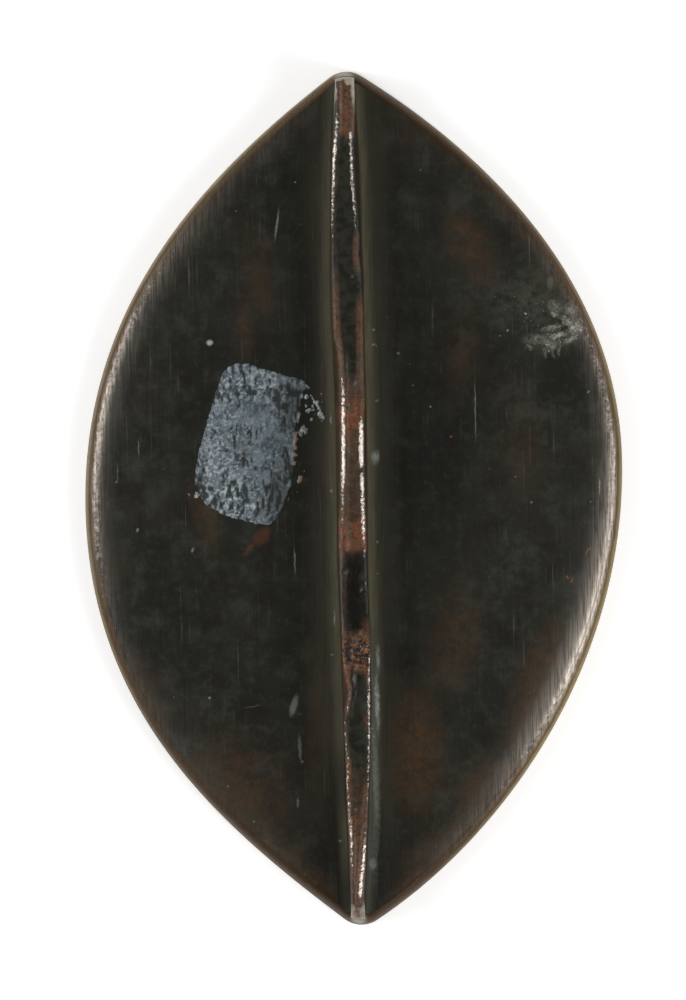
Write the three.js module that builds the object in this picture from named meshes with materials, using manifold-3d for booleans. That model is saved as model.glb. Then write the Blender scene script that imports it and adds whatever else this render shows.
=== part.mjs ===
// A pointed-oval (vesica) seal matrix lying on its engraved face, with its grip rib uppermost.
// A cast copper-alloy plate carries the intaglio on its underside. A narrow rib of redder metal
// is let into a shallow groove along the back, tip to tip, and brazed in along both feet.
// Millimetres, +Z up, +Y towards the head of the seal, origin at the middle of the engraved face.
import * as THREE from "three";
import { mergeVertices } from "three/addons/utils/BufferGeometryUtils.js";
import Module from "manifold-3d";

const wasm = await Module();
wasm.setup();

// Outline of the engraved face. Each flank is two cubic curves that meet where it is widest.
const faceLength = 72.6;
const faceWidth = 45.74;
const tipRadius = 2.4;
const waistRise = { left: -0.3, right: 2.8 }; // how far above the middle each flank is widest
const tipAngle = { left: { head: 53.2, tail: 51.8 }, right: { head: 57.1, tail: 57.4 } }; // degrees
const tipHandleShare = { left: { head: 0.353, tail: 0.364 }, right: { head: 0.357, tail: 0.346 } };
const waistHandleShare = { left: { head: 0.488, tail: 0.503 }, right: { head: 0.472, tail: 0.442 } };

// Plate
const plateThickness = 3.6;
const faceArris = 0.15; // wear on the edge of the engraved face
const sideDraft = 0.5; // how far the side leans in on its way up to the back
const shoulderRadius = 0.45; // rounding between the side and the back
const rollWidth = 5; // the back rolls down over this width towards its edge
const rollDrop = 0.5;
const rollFade = 6; // beyond the flat strip along the axis, the width over which the roll sets in
const flatMargin = 0.5; // how much wider than the brazing the flat strip is

// Grip rib, its groove and the brazing along its feet
const grooveDepth = 0.6;
const ribWidth = { middle: 2.4, head: 1.7, tail: 1.25 };
const ribOffset = -0.25; // the rib stands a little left of the axis
const ribRise = { middle: 5.2, end: 4.1 }; // height above the back: the crest is a shallow arch
const ribDraft = 0.2; // how far each wall leans in above the brazing
const ribEdge = 0.42; // worn rounding along both edges of the crest
const ribCrestMin = 0.3; // the rounding leaves at least this much of the crest between its edges
const ribCrown = 0.1;
const brazeLeg = 1.1; // width and height of each brazed fillet

// Residue of a small paper label on the back
const labelWidth = 8;
const labelLength = 12;
const labelFilm = 0.1;
const labelCorner = 1.5;
const labelTorn = 2.2; // the lower left corner has come away along this much of each side
const labelPlace = { x: -8.75, y: 5.15 };
const labelTurn = -12.5; // degrees

// Intaglio: a row of beads, a legend band between two lines, and a device in the field
const beads = { inset: 1.45, pitch: 1.9, radius: 0.4, depth: 0.3, sides: 6 };
const lineInset = { outer: 2.5, inner: 7.2 };
const line = { width: 0.5, depth: 0.35 };
const legendPitch = 5.4; // one lozenge and one pellet
const pellet = { radius: 0.55, depth: 0.4, sides: 8 };
const lozenge = { length: 2.6, width: 1.5, depth: 0.5 };
const crossArm = { length: 1.9, width: 0.9, depth: 0.4, reach: 1.05 };
const stem = { length: 30, width: 1.3, depth: 0.6, y: -6.6 };
const leaf = { width: 2.7, depth: 0.65, lean: 50, root: 0.2, lowest: -17, pitch: 5.2 };
const leafLengths = [6.5, 8.6, 10.2, 11]; // from the lowest pair up
const collar = { length: 6.8, width: 1.4, depth: 0.55, y: 9 };
const petal = { length: 12, width: 4.2, depth: 0.9, y: 16.4 };
const sidePetal = { length: 9, width: 2.8, depth: 0.7, lean: 42, x: 3.9, y: 13.4 };
const star = { length: 4.4, width: 0.75, depth: 0.45, x: 10.2, y: 8.6, rays: 6 };
const gougeTaper = 0.8; // exponent: the lower it is, the fuller a gouge cut stays towards its points
const pitFloorShares = { radius: 0.72, depth: 0.7 }; // where a round pit's wall turns into its floor
const overrun = 0.4; // how far every cut passes beyond the surface it opens

// How finely curves are divided
const flankSteps = 22;
const tipSteps = 3;
const shoulderSteps = 2;
const rollSteps = 4;
const ribSteps = 28;
const ribEdgeSteps = 3;
const brazeSteps = 4;
const labelCornerSteps = 5;
const gougeSides = 8;
const gougeSteps = 6;

const halfLength = faceLength / 2;
const halfWidth = faceWidth / 2;
const radians = THREE.MathUtils.degToRad;
const lerp = THREE.MathUtils.lerp;

// Closed meshes and solids

// A closed mesh through rings of equal point counts, each ring joined to the next.
// Its two ends are closed flat, unless it is looped and the last ring joins the first.
function loft(rings, looped = false) {
  const count = rings[0].length;
  const faces = [];
  const spans = looped ? rings.length : rings.length - 1;
  for (let r = 0; r < spans; r++) {
    const near = r * count;
    const far = ((r + 1) % rings.length) * count;
    for (let i = 0; i < count; i++) {
      const j = (i + 1) % count;
      faces.push([near + i, near + j, far + j], [near + i, far + j, far + i]);
    }
  }
  if (!looped) {
    const last = (rings.length - 1) * count;
    faces.push(...endFaces(rings[0]).map(([a, b, c]) => [c, b, a]));
    faces.push(...endFaces(rings.at(-1)).map(([a, b, c]) => [last + a, last + b, last + c]));
  }
  return closedMesh(rings.flat(), faces);
}

// Triangles over a flat ring, turned the same way round as the ring itself.
function endFaces(ring) {
  const size = new THREE.Box3().setFromPoints(ring).getSize(new THREE.Vector3());
  const level = size.z < Math.min(size.x, size.y);
  const flat = ring.map((p) => new THREE.Vector2(p.x, level ? p.y : p.z));
  const area = THREE.ShapeUtils.area(flat);
  return THREE.ShapeUtils.triangulateShape(flat, []).map(([a, b, c]) => {
    const turn = flat[b].clone().sub(flat[a]).cross(flat[c].clone().sub(flat[a]));
    return turn * area < 0 ? [c, b, a] : [a, b, c];
  });
}

// An indexed mesh whose faces are turned to point out.
function closedMesh(points, faces) {
  const volume = faces.reduce((sum, [a, b, c]) => {
    return sum + points[a].dot(new THREE.Vector3().crossVectors(points[b], points[c]));
  }, 0);
  const index = faces.flatMap(([a, b, c]) => (volume < 0 ? [a, c, b] : [a, b, c]));
  const geometry = new THREE.BufferGeometry().setFromPoints(points);
  return geometry.setIndex(index);
}

function solidOf(geometry) {
  const bare = geometry.clone();
  bare.deleteAttribute("normal");
  bare.deleteAttribute("uv");
  const merged = mergeVertices(bare);
  return new wasm.Manifold(
    new wasm.Mesh({
      numProp: 3,
      vertProperties: new Float32Array(merged.attributes.position.array),
      triVerts: new Uint32Array(merged.index.array),
    }),
  );
}

function geometryOf(solid) {
  const mesh = solid.getMesh();
  const geometry = new THREE.BufferGeometry();
  geometry.setAttribute("position", new THREE.BufferAttribute(mesh.vertProperties, 3));
  return geometry.setIndex(new THREE.BufferAttribute(mesh.triVerts, 1));
}

// Outline of the face

// One quarter of the outline, from where it leaves a tip's rounding to where the flank is widest.
function quarter(side, end) {
  const out = side === "right" ? 1 : -1;
  const up = end === "head" ? 1 : -1;
  const angle = radians(tipAngle[side][end]);
  const start = new THREE.Vector2(
    out * tipRadius * Math.cos(angle),
    up * (halfLength - tipRadius + tipRadius * Math.sin(angle)),
  );
  const waist = new THREE.Vector2(out * halfWidth, waistRise[side]);
  const rise = Math.abs(start.y - waist.y);
  const along = new THREE.Vector2(out * Math.sin(angle), -up * Math.cos(angle));
  const leaving = start.clone().addScaledVector(along, tipHandleShare[side][end] * rise);
  const arriving = new THREE.Vector2(waist.x, waist.y + up * waistHandleShare[side][end] * rise);
  return new THREE.CubicBezierCurve(start, leaving, arriving, waist).getPoints(flankSteps);
}

// The rounding of a tip from one flank to the other, without the two points that the flanks hold.
function tipArc(from, to, end) {
  const out = from === "right" ? 1 : -1;
  const up = end === "head" ? 1 : -1;
  const points = [];
  for (let i = 1; i < 2 * tipSteps; i++) {
    const turn = i / tipSteps - 1;
    const flank = turn < 0 ? from : to;
    const angle = turn * radians(90 - tipAngle[flank][end]);
    const y = up * (halfLength - tipRadius + tipRadius * Math.cos(angle));
    points.push(new THREE.Vector2(-out * tipRadius * Math.sin(angle), y));
  }
  return points;
}

// Anticlockwise from the point of the tail. Neighbouring quarters share their waist point.
const tailArc = tipArc("left", "right", "tail");
const outline = [
  ...tailArc.slice(tipSteps - 1),
  ...quarter("right", "tail"),
  ...quarter("right", "head").reverse().slice(1),
  ...tipArc("right", "left", "head"),
  ...quarter("left", "head"),
  ...quarter("left", "tail").reverse().slice(1),
  ...tailArc.slice(0, tipSteps - 1),
];

// The outline drawn in by a distance. Past its rounding, a tip draws in faster than a flank does.
function inset(distance, z = 0) {
  const angles = Object.values(tipAngle).flatMap((flank) => Object.values(flank));
  const meanAngle = radians(angles.reduce((sum, angle) => sum + angle) / angles.length);
  const pastRound = Math.max(distance - tipRadius, 0) / Math.sin(meanAngle);
  const tipDistance = Math.min(distance, tipRadius) + pastRound;
  const sx = (halfWidth - distance) / halfWidth;
  const sy = (halfLength - tipDistance) / halfLength;
  return outline.map((p) => new THREE.Vector3(p.x * sx, p.y * sy, z));
}

// A column on the inset outline. Everything on the back is dressed to one of these at the tips.
function column(low, high) {
  return solidOf(loft([inset(low.inset, low.z), inset(high.inset, high.z)]));
}

function ringLength(ring) {
  return ring.reduce((sum, p, i) => sum + p.distanceTo(ring[(i + 1) % ring.length]), 0);
}

// Places at equal steps along a closed ring, with the direction of travel at each.
function places(ring, count) {
  const path = new THREE.CurvePath();
  ring.forEach((p, i) => path.add(new THREE.LineCurve3(p, ring[(i + 1) % ring.length])));
  const spread = [];
  for (let i = 0; i < count; i++) {
    const halfStepsOn = (2 * i + 1) / (2 * count);
    const at = path.getPointAt(halfStepsOn);
    const way = path.getTangentAt(halfStepsOn);
    spread.push({ x: at.x, y: at.y, turn: Math.atan2(way.y, way.x) });
  }
  return spread;
}

// Plate

const flatBand = Math.abs(ribOffset) + ribWidth.middle / 2 + brazeLeg + flatMargin;
const sideTop = plateThickness - shoulderRadius;

// A ring of the back. Its drop is full on the flanks and fades to none on the flat strip.
function backRing(distance, z, drop) {
  return inset(distance).map((p) => {
    const share = THREE.MathUtils.smoothstep(Math.abs(p.x), flatBand, flatBand + rollFade);
    return new THREE.Vector3(p.x, p.y, z - drop * share);
  });
}

function plateBody() {
  const rings = [inset(faceArris, 0), inset(0, faceArris)];
  for (let i = 0; i <= shoulderSteps; i++) {
    const angle = (i / shoulderSteps) * (Math.PI / 2);
    const distance = sideDraft + shoulderRadius * (1 - Math.cos(angle));
    rings.push(backRing(distance, sideTop + shoulderRadius * Math.sin(angle), rollDrop));
  }
  for (let i = 1; i <= rollSteps; i++) {
    const share = i / rollSteps;
    const distance = sideDraft + shoulderRadius + rollWidth * share;
    rings.push(backRing(distance, plateThickness, rollDrop * (1 - share) ** 2));
  }
  return loft(rings);
}

function matrixPlate() {
  const cuts = [...borderCuts(), ...legendCuts(), ...deviceCuts(), grooveCut()];
  const body = solidOf(plateBody());
  return geometryOf(cuts.reduce((plate, cut) => plate.subtract(solidOf(cut)), body));
}

// Intaglio

// A line engraved round the face: a furrow with its point upwards.
function furrow(distance) {
  const half = (line.width / 2) * (1 + overrun / line.depth);
  const outer = inset(distance - half, -overrun);
  const inner = inset(distance + half, -overrun);
  return loft([outer, inset(distance, line.depth), inner], true);
}

// A pit turned about the vertical, from a profile of radius and height.
function pit(profile, sides) {
  const points = [new THREE.Vector2(0, -overrun), ...profile.map((p) => new THREE.Vector2(...p))];
  return new THREE.LatheGeometry(points, sides).rotateX(Math.PI / 2);
}

// A round pit, as a drill or a punch leaves it.
function dimple({ radius, depth, sides }, x, y) {
  const floor = [radius * pitFloorShares.radius, depth * pitFloorShares.depth];
  const profile = [[radius, -overrun], [radius, 0], floor, [0, depth]];
  return pit(profile, sides).translate(x, y, 0);
}

// A lozenge cut as a four-sided pit, long along the band.
function lozengeCut(x, y, turn) {
  const reach = (lozenge.length / 2) * (1 + overrun / lozenge.depth);
  const geometry = pit([[reach, -overrun], [0, lozenge.depth]], 4);
  geometry.scale(1, lozenge.width / lozenge.length, 1);
  return geometry.rotateZ(turn).translate(x, y, 0);
}

// A cut pointed at both ends, as a graver leaves it: a spindle half sunk in the face, along Y.
function gouge({ length, width, depth }, x, y, turn = 0) {
  const profile = [];
  for (let i = 0; i <= gougeSteps; i++) {
    const share = i / gougeSteps;
    const swell = i % gougeSteps ? Math.sin(Math.PI * share) ** gougeTaper : 0;
    profile.push(new THREE.Vector2((width / 2) * swell, length * share - length / 2));
  }
  const geometry = new THREE.LatheGeometry(profile, gougeSides);
  return geometry.scale(1, 1, depth / (width / 2)).rotateZ(turn).translate(x, y, 0);
}

function borderCuts() {
  const ring = inset(beads.inset);
  const count = Math.round(ringLength(ring) / beads.pitch);
  const row = places(ring, count).map(({ x, y }) => dimple(beads, x, y));
  return [...row, furrow(lineInset.outer), furrow(lineInset.inner)];
}

// A cross at the head, then pellets and lozenges by turns. The band bears no letters.
function legendCuts() {
  const ring = inset((lineInset.outer + lineInset.inner) / 2);
  const crossY = Math.max(...ring.map((p) => p.y));
  const count = 2 * Math.round(ringLength(ring) / legendPitch);
  const cuts = places(ring, count).flatMap(({ x, y, turn }, i) => {
    if (Math.hypot(x, y - crossY) < legendPitch / 2) return [];
    return [i % 2 ? dimple(pellet, x, y) : lozengeCut(x, y, turn)];
  });
  for (let i = 0; i < 4; i++) {
    const turn = (i * Math.PI) / 2;
    const x = -crossArm.reach * Math.sin(turn);
    cuts.push(gouge(crossArm, x, crossY + crossArm.reach * Math.cos(turn), turn));
  }
  return cuts;
}

// A lily on a leafy stem between two stars.
function deviceCuts() {
  const cuts = [
    gouge(stem, 0, stem.y),
    gouge(collar, 0, collar.y, Math.PI / 2),
    gouge(petal, 0, petal.y),
  ];
  for (const side of [-1, 1]) {
    cuts.push(gouge(sidePetal, side * sidePetal.x, sidePetal.y, -side * radians(sidePetal.lean)));
    cuts.push(...leafCuts(side), ...starCuts(side * star.x));
  }
  return cuts;
}

function leafCuts(side) {
  const lean = radians(leaf.lean);
  return leafLengths.map((length, i) => {
    const reach = leaf.root + length / 2;
    const y = leaf.lowest + i * leaf.pitch + reach * Math.cos(lean);
    return gouge({ ...leaf, length }, side * reach * Math.sin(lean), y, -side * lean);
  });
}

// Half as many cuts as rays, because each cut is two rays in line.
function starCuts(x) {
  const turns = Array.from({ length: star.rays / 2 }, (_, i) => (i * 2 * Math.PI) / star.rays);
  return turns.map((turn) => gouge(star, x, star.y, turn));
}

// Rib, its groove and its brazing

const ribSeat = plateThickness - grooveDepth;
const pastTips = halfLength + overrun;

// The rib, its groove and its brazing share these stations, so that their walls meet.
const stations = Array.from({ length: ribSteps + 1 }, (_, i) => {
  return lerp(-pastTips, pastTips, i / ribSteps);
});

function ribHalfWidth(y) {
  const end = y > 0 ? ribWidth.head : ribWidth.tail;
  return lerp(ribWidth.middle, end, (y / halfLength) ** 2) / 2;
}

// A section across the rib, from points whose x is measured from the rib's own middle.
function acrossRib(y, points) {
  return points.map(([x, z]) => new THREE.Vector3(ribOffset + x, y, z));
}

function ribSection(y) {
  const half = ribHalfWidth(y);
  const crest = plateThickness + lerp(ribRise.middle, ribRise.end, (y / halfLength) ** 2);
  const edge = Math.min(ribEdge, half - ribDraft - ribCrestMin / 2);
  const spring = crest - edge;
  const wallTop = plateThickness + brazeLeg;
  const rightSide = [[half, ribSeat], [half, wallTop]];
  for (let i = 0; i <= ribEdgeSteps; i++) {
    const angle = (i / ribEdgeSteps) * (Math.PI / 2);
    const x = half - ribDraft - edge * (1 - Math.cos(angle));
    rightSide.push([x, spring + (edge - ribCrown) * Math.sin(angle)]);
  }
  const leftSide = rightSide.map(([x, z]) => [-x, z]).reverse();
  return acrossRib(y, [...rightSide, [0, crest], ...leftSide]);
}

// The rib's ends are filed in one with the plate's side, whose draft they carry on upwards.
function spineRib() {
  const top = plateThickness + ribRise.middle + overrun;
  const slope = sideDraft / (sideTop - faceArris);
  const filed = column(
    { inset: 0, z: faceArris },
    { inset: slope * (top - faceArris), z: top },
  );
  return geometryOf(solidOf(loft(stations.map(ribSection))).intersect(filed));
}

// The groove has the rib's own plan and runs out through both tips.
function grooveCut() {
  const top = plateThickness + overrun;
  const section = (y) => {
    const half = ribHalfWidth(y);
    return acrossRib(y, [[half, ribSeat], [half, top], [-half, top], [-half, ribSeat]]);
  };
  return loft(stations.map(section));
}

// A hollow fillet in the corner between the rib's wall and the back, ending at the shoulder.
function brazeFillet(side) {
  const section = (y) => {
    const foot = side * ribHalfWidth(y);
    const points = [[foot, plateThickness]];
    for (let i = 0; i <= brazeSteps; i++) {
      const angle = (i / brazeSteps) * (Math.PI / 2);
      const x = foot + side * brazeLeg * (1 - Math.sin(angle));
      points.push([x, plateThickness + brazeLeg * (1 - Math.cos(angle))]);
    }
    return acrossRib(y, points);
  };
  const shoulderInset = sideDraft + shoulderRadius;
  const filed = column(
    { inset: shoulderInset, z: plateThickness - overrun },
    { inset: shoulderInset, z: plateThickness + brazeLeg + overrun },
  );
  return geometryOf(solidOf(loft(stations.map(section))).intersect(filed));
}

// Label residue

function labelResidue() {
  const w = labelWidth / 2;
  const l = labelLength / 2;
  const r = labelCorner;
  const shape = new THREE.Shape();
  shape.moveTo(-w + labelTorn, -l);
  shape.absarc(w - r, -l + r, r, -Math.PI / 2, 0);
  shape.absarc(w - r, l - r, r, 0, Math.PI / 2);
  shape.absarc(-w + r, l - r, r, Math.PI / 2, Math.PI);
  shape.lineTo(-w, -l + labelTorn);
  const film = new THREE.ExtrudeGeometry(shape, {
    depth: labelFilm,
    bevelEnabled: false,
    curveSegments: labelCornerSteps,
  });
  return film.rotateZ(radians(labelTurn)).translate(labelPlace.x, labelPlace.y, plateThickness);
}

// Materials and assembly

function metal(color, roughness) {
  return new THREE.MeshStandardMaterial({ color, roughness, metalness: 0.9 });
}

const darkBronze = metal("#33312b", 0.42);
const redBronze = metal("#5a3a2a", 0.38);
const brazing = metal("#3d3a2e", 0.5);
const paper = new THREE.MeshStandardMaterial({ color: "#707d86", roughness: 0.9, metalness: 0 });

function piece(name, geometry, material) {
  const mesh = new THREE.Mesh(geometry, material);
  mesh.name = name;
  return mesh;
}

const sealMatrix = new THREE.Group();
sealMatrix.add(
  piece("matrix_plate", matrixPlate(), darkBronze),
  piece("spine_rib", spineRib(), redBronze),
  piece("braze_fillet_left", brazeFillet(-1), brazing.clone()),
  piece("braze_fillet_right", brazeFillet(1), brazing.clone()),
  piece("label_residue", labelResidue(), paper),
);

export default sealMatrix;
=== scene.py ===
"""Looks of a pointed-oval seal matrix that lies on its engraved face, with its grip rib uppermost.

Every piece is modelled in millimetres in the frame of the CAD part, and stored in metres.
+Z is up out of the back, +Y runs along the rib to the head of the seal, and X crosses it.
"""
import math

import bmesh
import bpy
import numpy as np
from mathutils import Matrix


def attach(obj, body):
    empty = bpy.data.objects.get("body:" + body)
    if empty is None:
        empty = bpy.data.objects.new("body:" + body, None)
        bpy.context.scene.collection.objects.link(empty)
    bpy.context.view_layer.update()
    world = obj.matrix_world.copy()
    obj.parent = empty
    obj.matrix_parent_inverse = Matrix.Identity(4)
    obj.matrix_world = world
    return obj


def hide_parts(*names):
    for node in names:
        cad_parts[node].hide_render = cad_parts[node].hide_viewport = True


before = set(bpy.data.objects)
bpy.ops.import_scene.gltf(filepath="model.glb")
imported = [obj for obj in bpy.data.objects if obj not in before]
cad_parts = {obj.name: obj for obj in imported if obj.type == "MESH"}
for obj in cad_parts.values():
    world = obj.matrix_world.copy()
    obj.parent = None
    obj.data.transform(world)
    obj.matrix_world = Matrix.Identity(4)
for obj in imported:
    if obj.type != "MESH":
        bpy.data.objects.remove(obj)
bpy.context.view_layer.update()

MM = 0.001  # one millimetre in metres
OUT = {"left": -1, "right": 1}
UP = {"head": 1, "tail": -1}

# The photograph looks straight down, so marks on the back are placed by their pixels in it.
PHOTO_MIDDLE = (354.0, 498.25)
PHOTO_TILT = 1.074
PIXELS_PER_MM = 11.75
MARK_DEPTH = 3.0  # how far above and below the back a mark reaches
OVAL_SOFTNESS = 1.5  # how far a soft oval reaches, as a share of its half width and half length

# Outline of the engraved face. Each flank is two cubic curves that meet where it is widest.
FACE_LENGTH = 72.6
FACE_WIDTH = 45.74
TIP_RADIUS = 2.4
WAIST_RISE = {"left": -0.3, "right": 2.8}  # how far above the middle each flank is widest
TIP_ANGLE = {"left": {"head": 53.2, "tail": 51.8}, "right": {"head": 57.1, "tail": 57.4}}
TIP_HANDLE_SHARE = {"left": {"head": 0.353, "tail": 0.364}, "right": {"head": 0.357, "tail": 0.346}}
WAIST_HANDLE_SHARE = {"left": {"head": 0.488, "tail": 0.503}, "right": {"head": 0.472, "tail": 0.442}}
HALF_LENGTH = FACE_LENGTH / 2
HALF_WIDTH = FACE_WIDTH / 2

# Plate
PLATE_THICKNESS = 3.6
FACE_ARRIS = 0.15
SIDE_DRAFT = 0.5
SHOULDER_RADIUS = 0.45
ROLL_WIDTH = 5.0
ROLL_DROP = 0.5
ROLL_FADE = 6.0
FLAT_BAND = 3.05  # the back is flat this far to either side of the axis
SIDE_TOP = PLATE_THICKNESS - SHOULDER_RADIUS
BACK_INSET = SIDE_DRAFT + SHOULDER_RADIUS
# Where the back has worn down more towards its edge: side, place along Y, reach, width and depth.
WORN_ROLLS = [
    ("right", -13.5, 15.0, 3.2, 0.4), ("left", 3.0, 20.0, 1.6, 0.1), ("right", 4.0, 10.0, 1.4, 0.12),
]
WORN_FULL = 0.3  # the share of its reach along which a worn roll has its full depth
BACK_RELIEF = 0.018  # how far the dressed back waves up and down
RIM_RELIEF = 0.05  # how far wear has eaten into the side and the shoulder
ARRIS_RELIEF = {"low": 0.03, "high": 0.02}  # the same along both edges of the face's arris
WEAR_SHARES = {"swing": 0.6, "mean": 0.25}
NICK_DEPTH = 0.09
NICK_RANGE = (0.62, 0.9)  # where in their noise the rim's nicks begin, and are deepest
BROWN_REACH = {"mean": 2.8, "swing": 1.8, "least": 0.8}  # how far in from a rim its brown reaches
AMBER_REACH = 4.0  # how far from the axis the right side's amber has come in
# Beside the rib the back is painted lighter: painted light against the rib's shadow.
NEAR_RIB = (4.6, 2.3)  # how far from the rib's middle the back grows lighter, and is lightest

# Grip rib and brazing. The tables give places along the rib and how far out from its middle.
GROOVE_DEPTH = 0.6
RIB_SEAT = PLATE_THICKNESS - GROOVE_DEPTH
RIB_OFFSET = -0.25
RIB_RISE = {"middle": 5.2, "end": 4.1}
RIB_CROWN = 0.1
RIB_EDGE = {"least": 0.12, "most": 0.6}
RIB_EDGE_CLEAR = 0.05  # how far inside the rib's foot its edge stays
CREST_WORN = 0.03
WALL_HOLLOW = 1.5  # the power by which a wall comes in from its foot to its edge
GLINT_SHARE = 0.54  # where the light catches an edge's rounding, measured in from its outside
GLINT_WANDER = 0.03
NOISE_SIDE = {"glint": 5.0, "braze_leg": 3.0}  # how far out a side reads a noise that both sides have
END_ROUND = 0.6
END_LEAN = 0.1
END_RUN = {"inset": 10.0, "rise": 1.6}  # how the ring that trims the rib's ends runs clear over its crest
HAIR = 0.01
BRAZE_LEG = 1.15
BRAZE_TOP = PLATE_THICKNESS + BRAZE_LEG
BRAZE_SWELL = 0.1
BRAZE_DENT = 0.03
BRAZE_SUNK = 0.04
FOOT = {
    "left": [
        (36.3, 0.62), (33.0, 0.9), (29.6, 1.12), (18.6, 1.4), (6.7, 1.14), (-5.3, 1.2),
        (-17.2, 0.97), (-25.7, 0.9), (-34.2, 0.68), (-36.3, 0.66),
    ],
    "right": [
        (36.3, 0.9), (33.0, 1.0), (29.6, 1.15), (18.6, 1.32), (6.7, 1.38), (-5.3, 1.28),
        (-17.2, 1.36), (-25.7, 1.0), (-34.2, 0.56), (-36.3, 0.54),
    ],
}
GLINT = {
    "left": [
        (36.3, 0.45), (31.4, 0.63), (29.7, 0.82), (28.4, 0.92), (25.4, 1.08), (23.7, 1.15), (20.1, 1.12),
        (16.4, 1.06), (13.9, 1.02), (13.1, 0.78), (12.2, 0.63), (9.2, 0.51), (3.3, 0.58), (-1.0, 0.75),
        (-4.0, 0.89), (-8.6, 0.93), (-12.0, 0.83), (-14.6, 0.62), (-16.3, 0.31), (-18.2, 0.69),
        (-18.9, 0.87), (-21.0, 0.82), (-22.1, 0.67), (-24.0, 0.75), (-26.7, 0.63), (-28.4, 0.51),
        (-32.6, 0.5), (-36.3, 0.5),
    ],
    "right": [
        (36.3, 0.62), (33.0, 0.6), (31.3, 0.51), (27.1, 0.57), (24.4, 0.73), (22.3, 0.84), (20.6, 0.72),
        (16.9, 1.12), (8.3, 1.0), (4.1, 0.92), (-1.9, 0.98), (-8.7, 1.11), (-12.9, 1.3), (-17.8, 1.15),
        (-21.4, 1.12), (-24.0, 0.99), (-26.5, 0.77), (-28.2, 0.66), (-30.3, 0.5), (-32.1, 0.3),
        (-33.8, 0.1), (-36.3, 0.25),
    ],
}

# Residue of a small paper label
LABEL_FILM = 0.1
LABEL_TURN = -14.0
LABEL_GRID = 0.08
LABEL_MARGIN = {"low": (1.0, 1.0), "high": (2.4, 1.0)}
LABEL_EDGE_RUN = 0.12  # how far in from its edge the film has its full height
LABEL_UNDER = {"open": 0.05, "floor": 0.12}  # how far under the back the film's two faces go
LABEL_FRAY = {"even": 0.07, "grainy": 0.09, "back": 0.02}
SCRAP_FRAY = {"swing": 0.17, "back": 0.03}
LACE_FRAY = {"swing": 0.2, "beyond": 0.35, "back": 0.015}

# Intaglio of the underside
BEADS = {"inset": 1.45, "pitch": 1.9, "radius": 0.4, "depth": 0.3, "sides": 12}
LINE_INSET = {"outer": 2.5, "inner": 7.2}
LINE = {"width": 0.5, "depth": 0.35}
LEGEND_PITCH = 5.4
PELLET = {"radius": 0.55, "depth": 0.4, "sides": 18}
LOZENGE = {"length": 2.6, "width": 1.5, "depth": 0.5}
CROSS_ARM = {"length": 1.9, "width": 0.9, "depth": 0.4}
CROSS_REACH = 1.05
STEM = {"length": 30, "width": 1.3, "depth": 0.6}
STEM_Y = -6.6
LEAF = {"width": 2.7, "depth": 0.65}
LEAF_PLACE = {"lean": 50, "root": 0.2, "lowest": -17, "pitch": 5.2}
LEAF_LENGTHS = [6.5, 8.6, 10.2, 11]
COLLAR = {"length": 6.8, "width": 1.4, "depth": 0.55}
COLLAR_Y = 9
PETAL = {"length": 12, "width": 4.2, "depth": 0.9}
PETAL_Y = 16.4
SIDE_PETAL = {"length": 9, "width": 2.8, "depth": 0.7}
SIDE_PETAL_PLACE = {"lean": 42, "x": 3.9, "y": 13.4}
STAR = {"length": 4.4, "width": 0.75, "depth": 0.45}
STAR_PLACE = {"x": 10.2, "y": 8.6}
GOUGE_TAPER = 0.8
PIT_SHARES = [(0.72, 0.7), (0.432, 0.92)]  # of a pit's radius and depth, from its wall in to its middle
OVERRUN = 0.4

# How finely curves are divided
FLANK_POINTS = 360
CURVE_POINTS = 400
TIP_POINTS = 40
SIDE_RINGS = 18
BACK_RINGS = 60
BACK_INNER_INSET = 22.2
BACK_CROWDING = 1.35  # how much closer the rings of the back lie towards its rim
RING_STEPS = [(5.0, 1), (13.0, 2), (BACK_INNER_INSET + 1, 4)]  # up to an inset, every how manieth point
RIB_STATIONS = 620
EDGE_POINTS = 8
CREST_POINTS = 13
WALL_SHARES = (0.25, 0.5, 0.75)
BRAZE_STATIONS = 420
BRAZE_POINTS = 10
GOUGE_STEPS = 28
GOUGE_SIDES = 24
RIM_BATCH = 4000

# Seeded noise: the size of its cells in millimetres, its seed, and its octaves where they aren't three.
NOISE_GRID = 64
NOISE = {
    "back_wave": (9.0, 11), "back_ripple": (2.1, 15, 2), "arris": (1.6, 31), "rim": (1.6, 51),
    "nicks": (0.45, 53, 1), "brown": (5.0, 23), "glint": (0.8, 61), "crest_ripple": (0.5, 71),
    "crest_wave": (1.8, 75), "wall_bulge": (0.9, 81), "wander": (0.5, 65), "wall_red": (1.8, 73),
    "coal": (0.5, 67), "braze_leg": (3.0, 91), "braze_dent": (1.1, 95), "label_edge": (0.4, 101),
    "label_holes": (0.24, 111, 2), "label_wave": (1.3, 115, 1), "label_grain": (0.22, 131, 2),
    "scraps": (0.22, 121), "lace": (0.24, 141, 2), "flecks": (0.2, 145, 2),
}
# Noises that are drawn out or squeezed: what the first and second place are multiplied by.
SQUEEZE = {
    "crest_ripple": (1, 0.6), "crest_wave": (0.5, 1), "wall_red": (1, 1.6), "coal": (1, 0.6),
    "braze_dent": (1, 0.7), "scraps": (1, 0.7), "lace": (1, 0.7), "label_holes": (1, 0.45),
    "label_wave": (1, 0.6), "flecks": (1, 0.6),
}


def smoothstep(low, high, value):
    share = np.clip((value - low) / (high - low), 0, 1)
    return share * share * (3 - 2 * share)


def blend(a, b, share):
    return a + (b - a) * share


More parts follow.
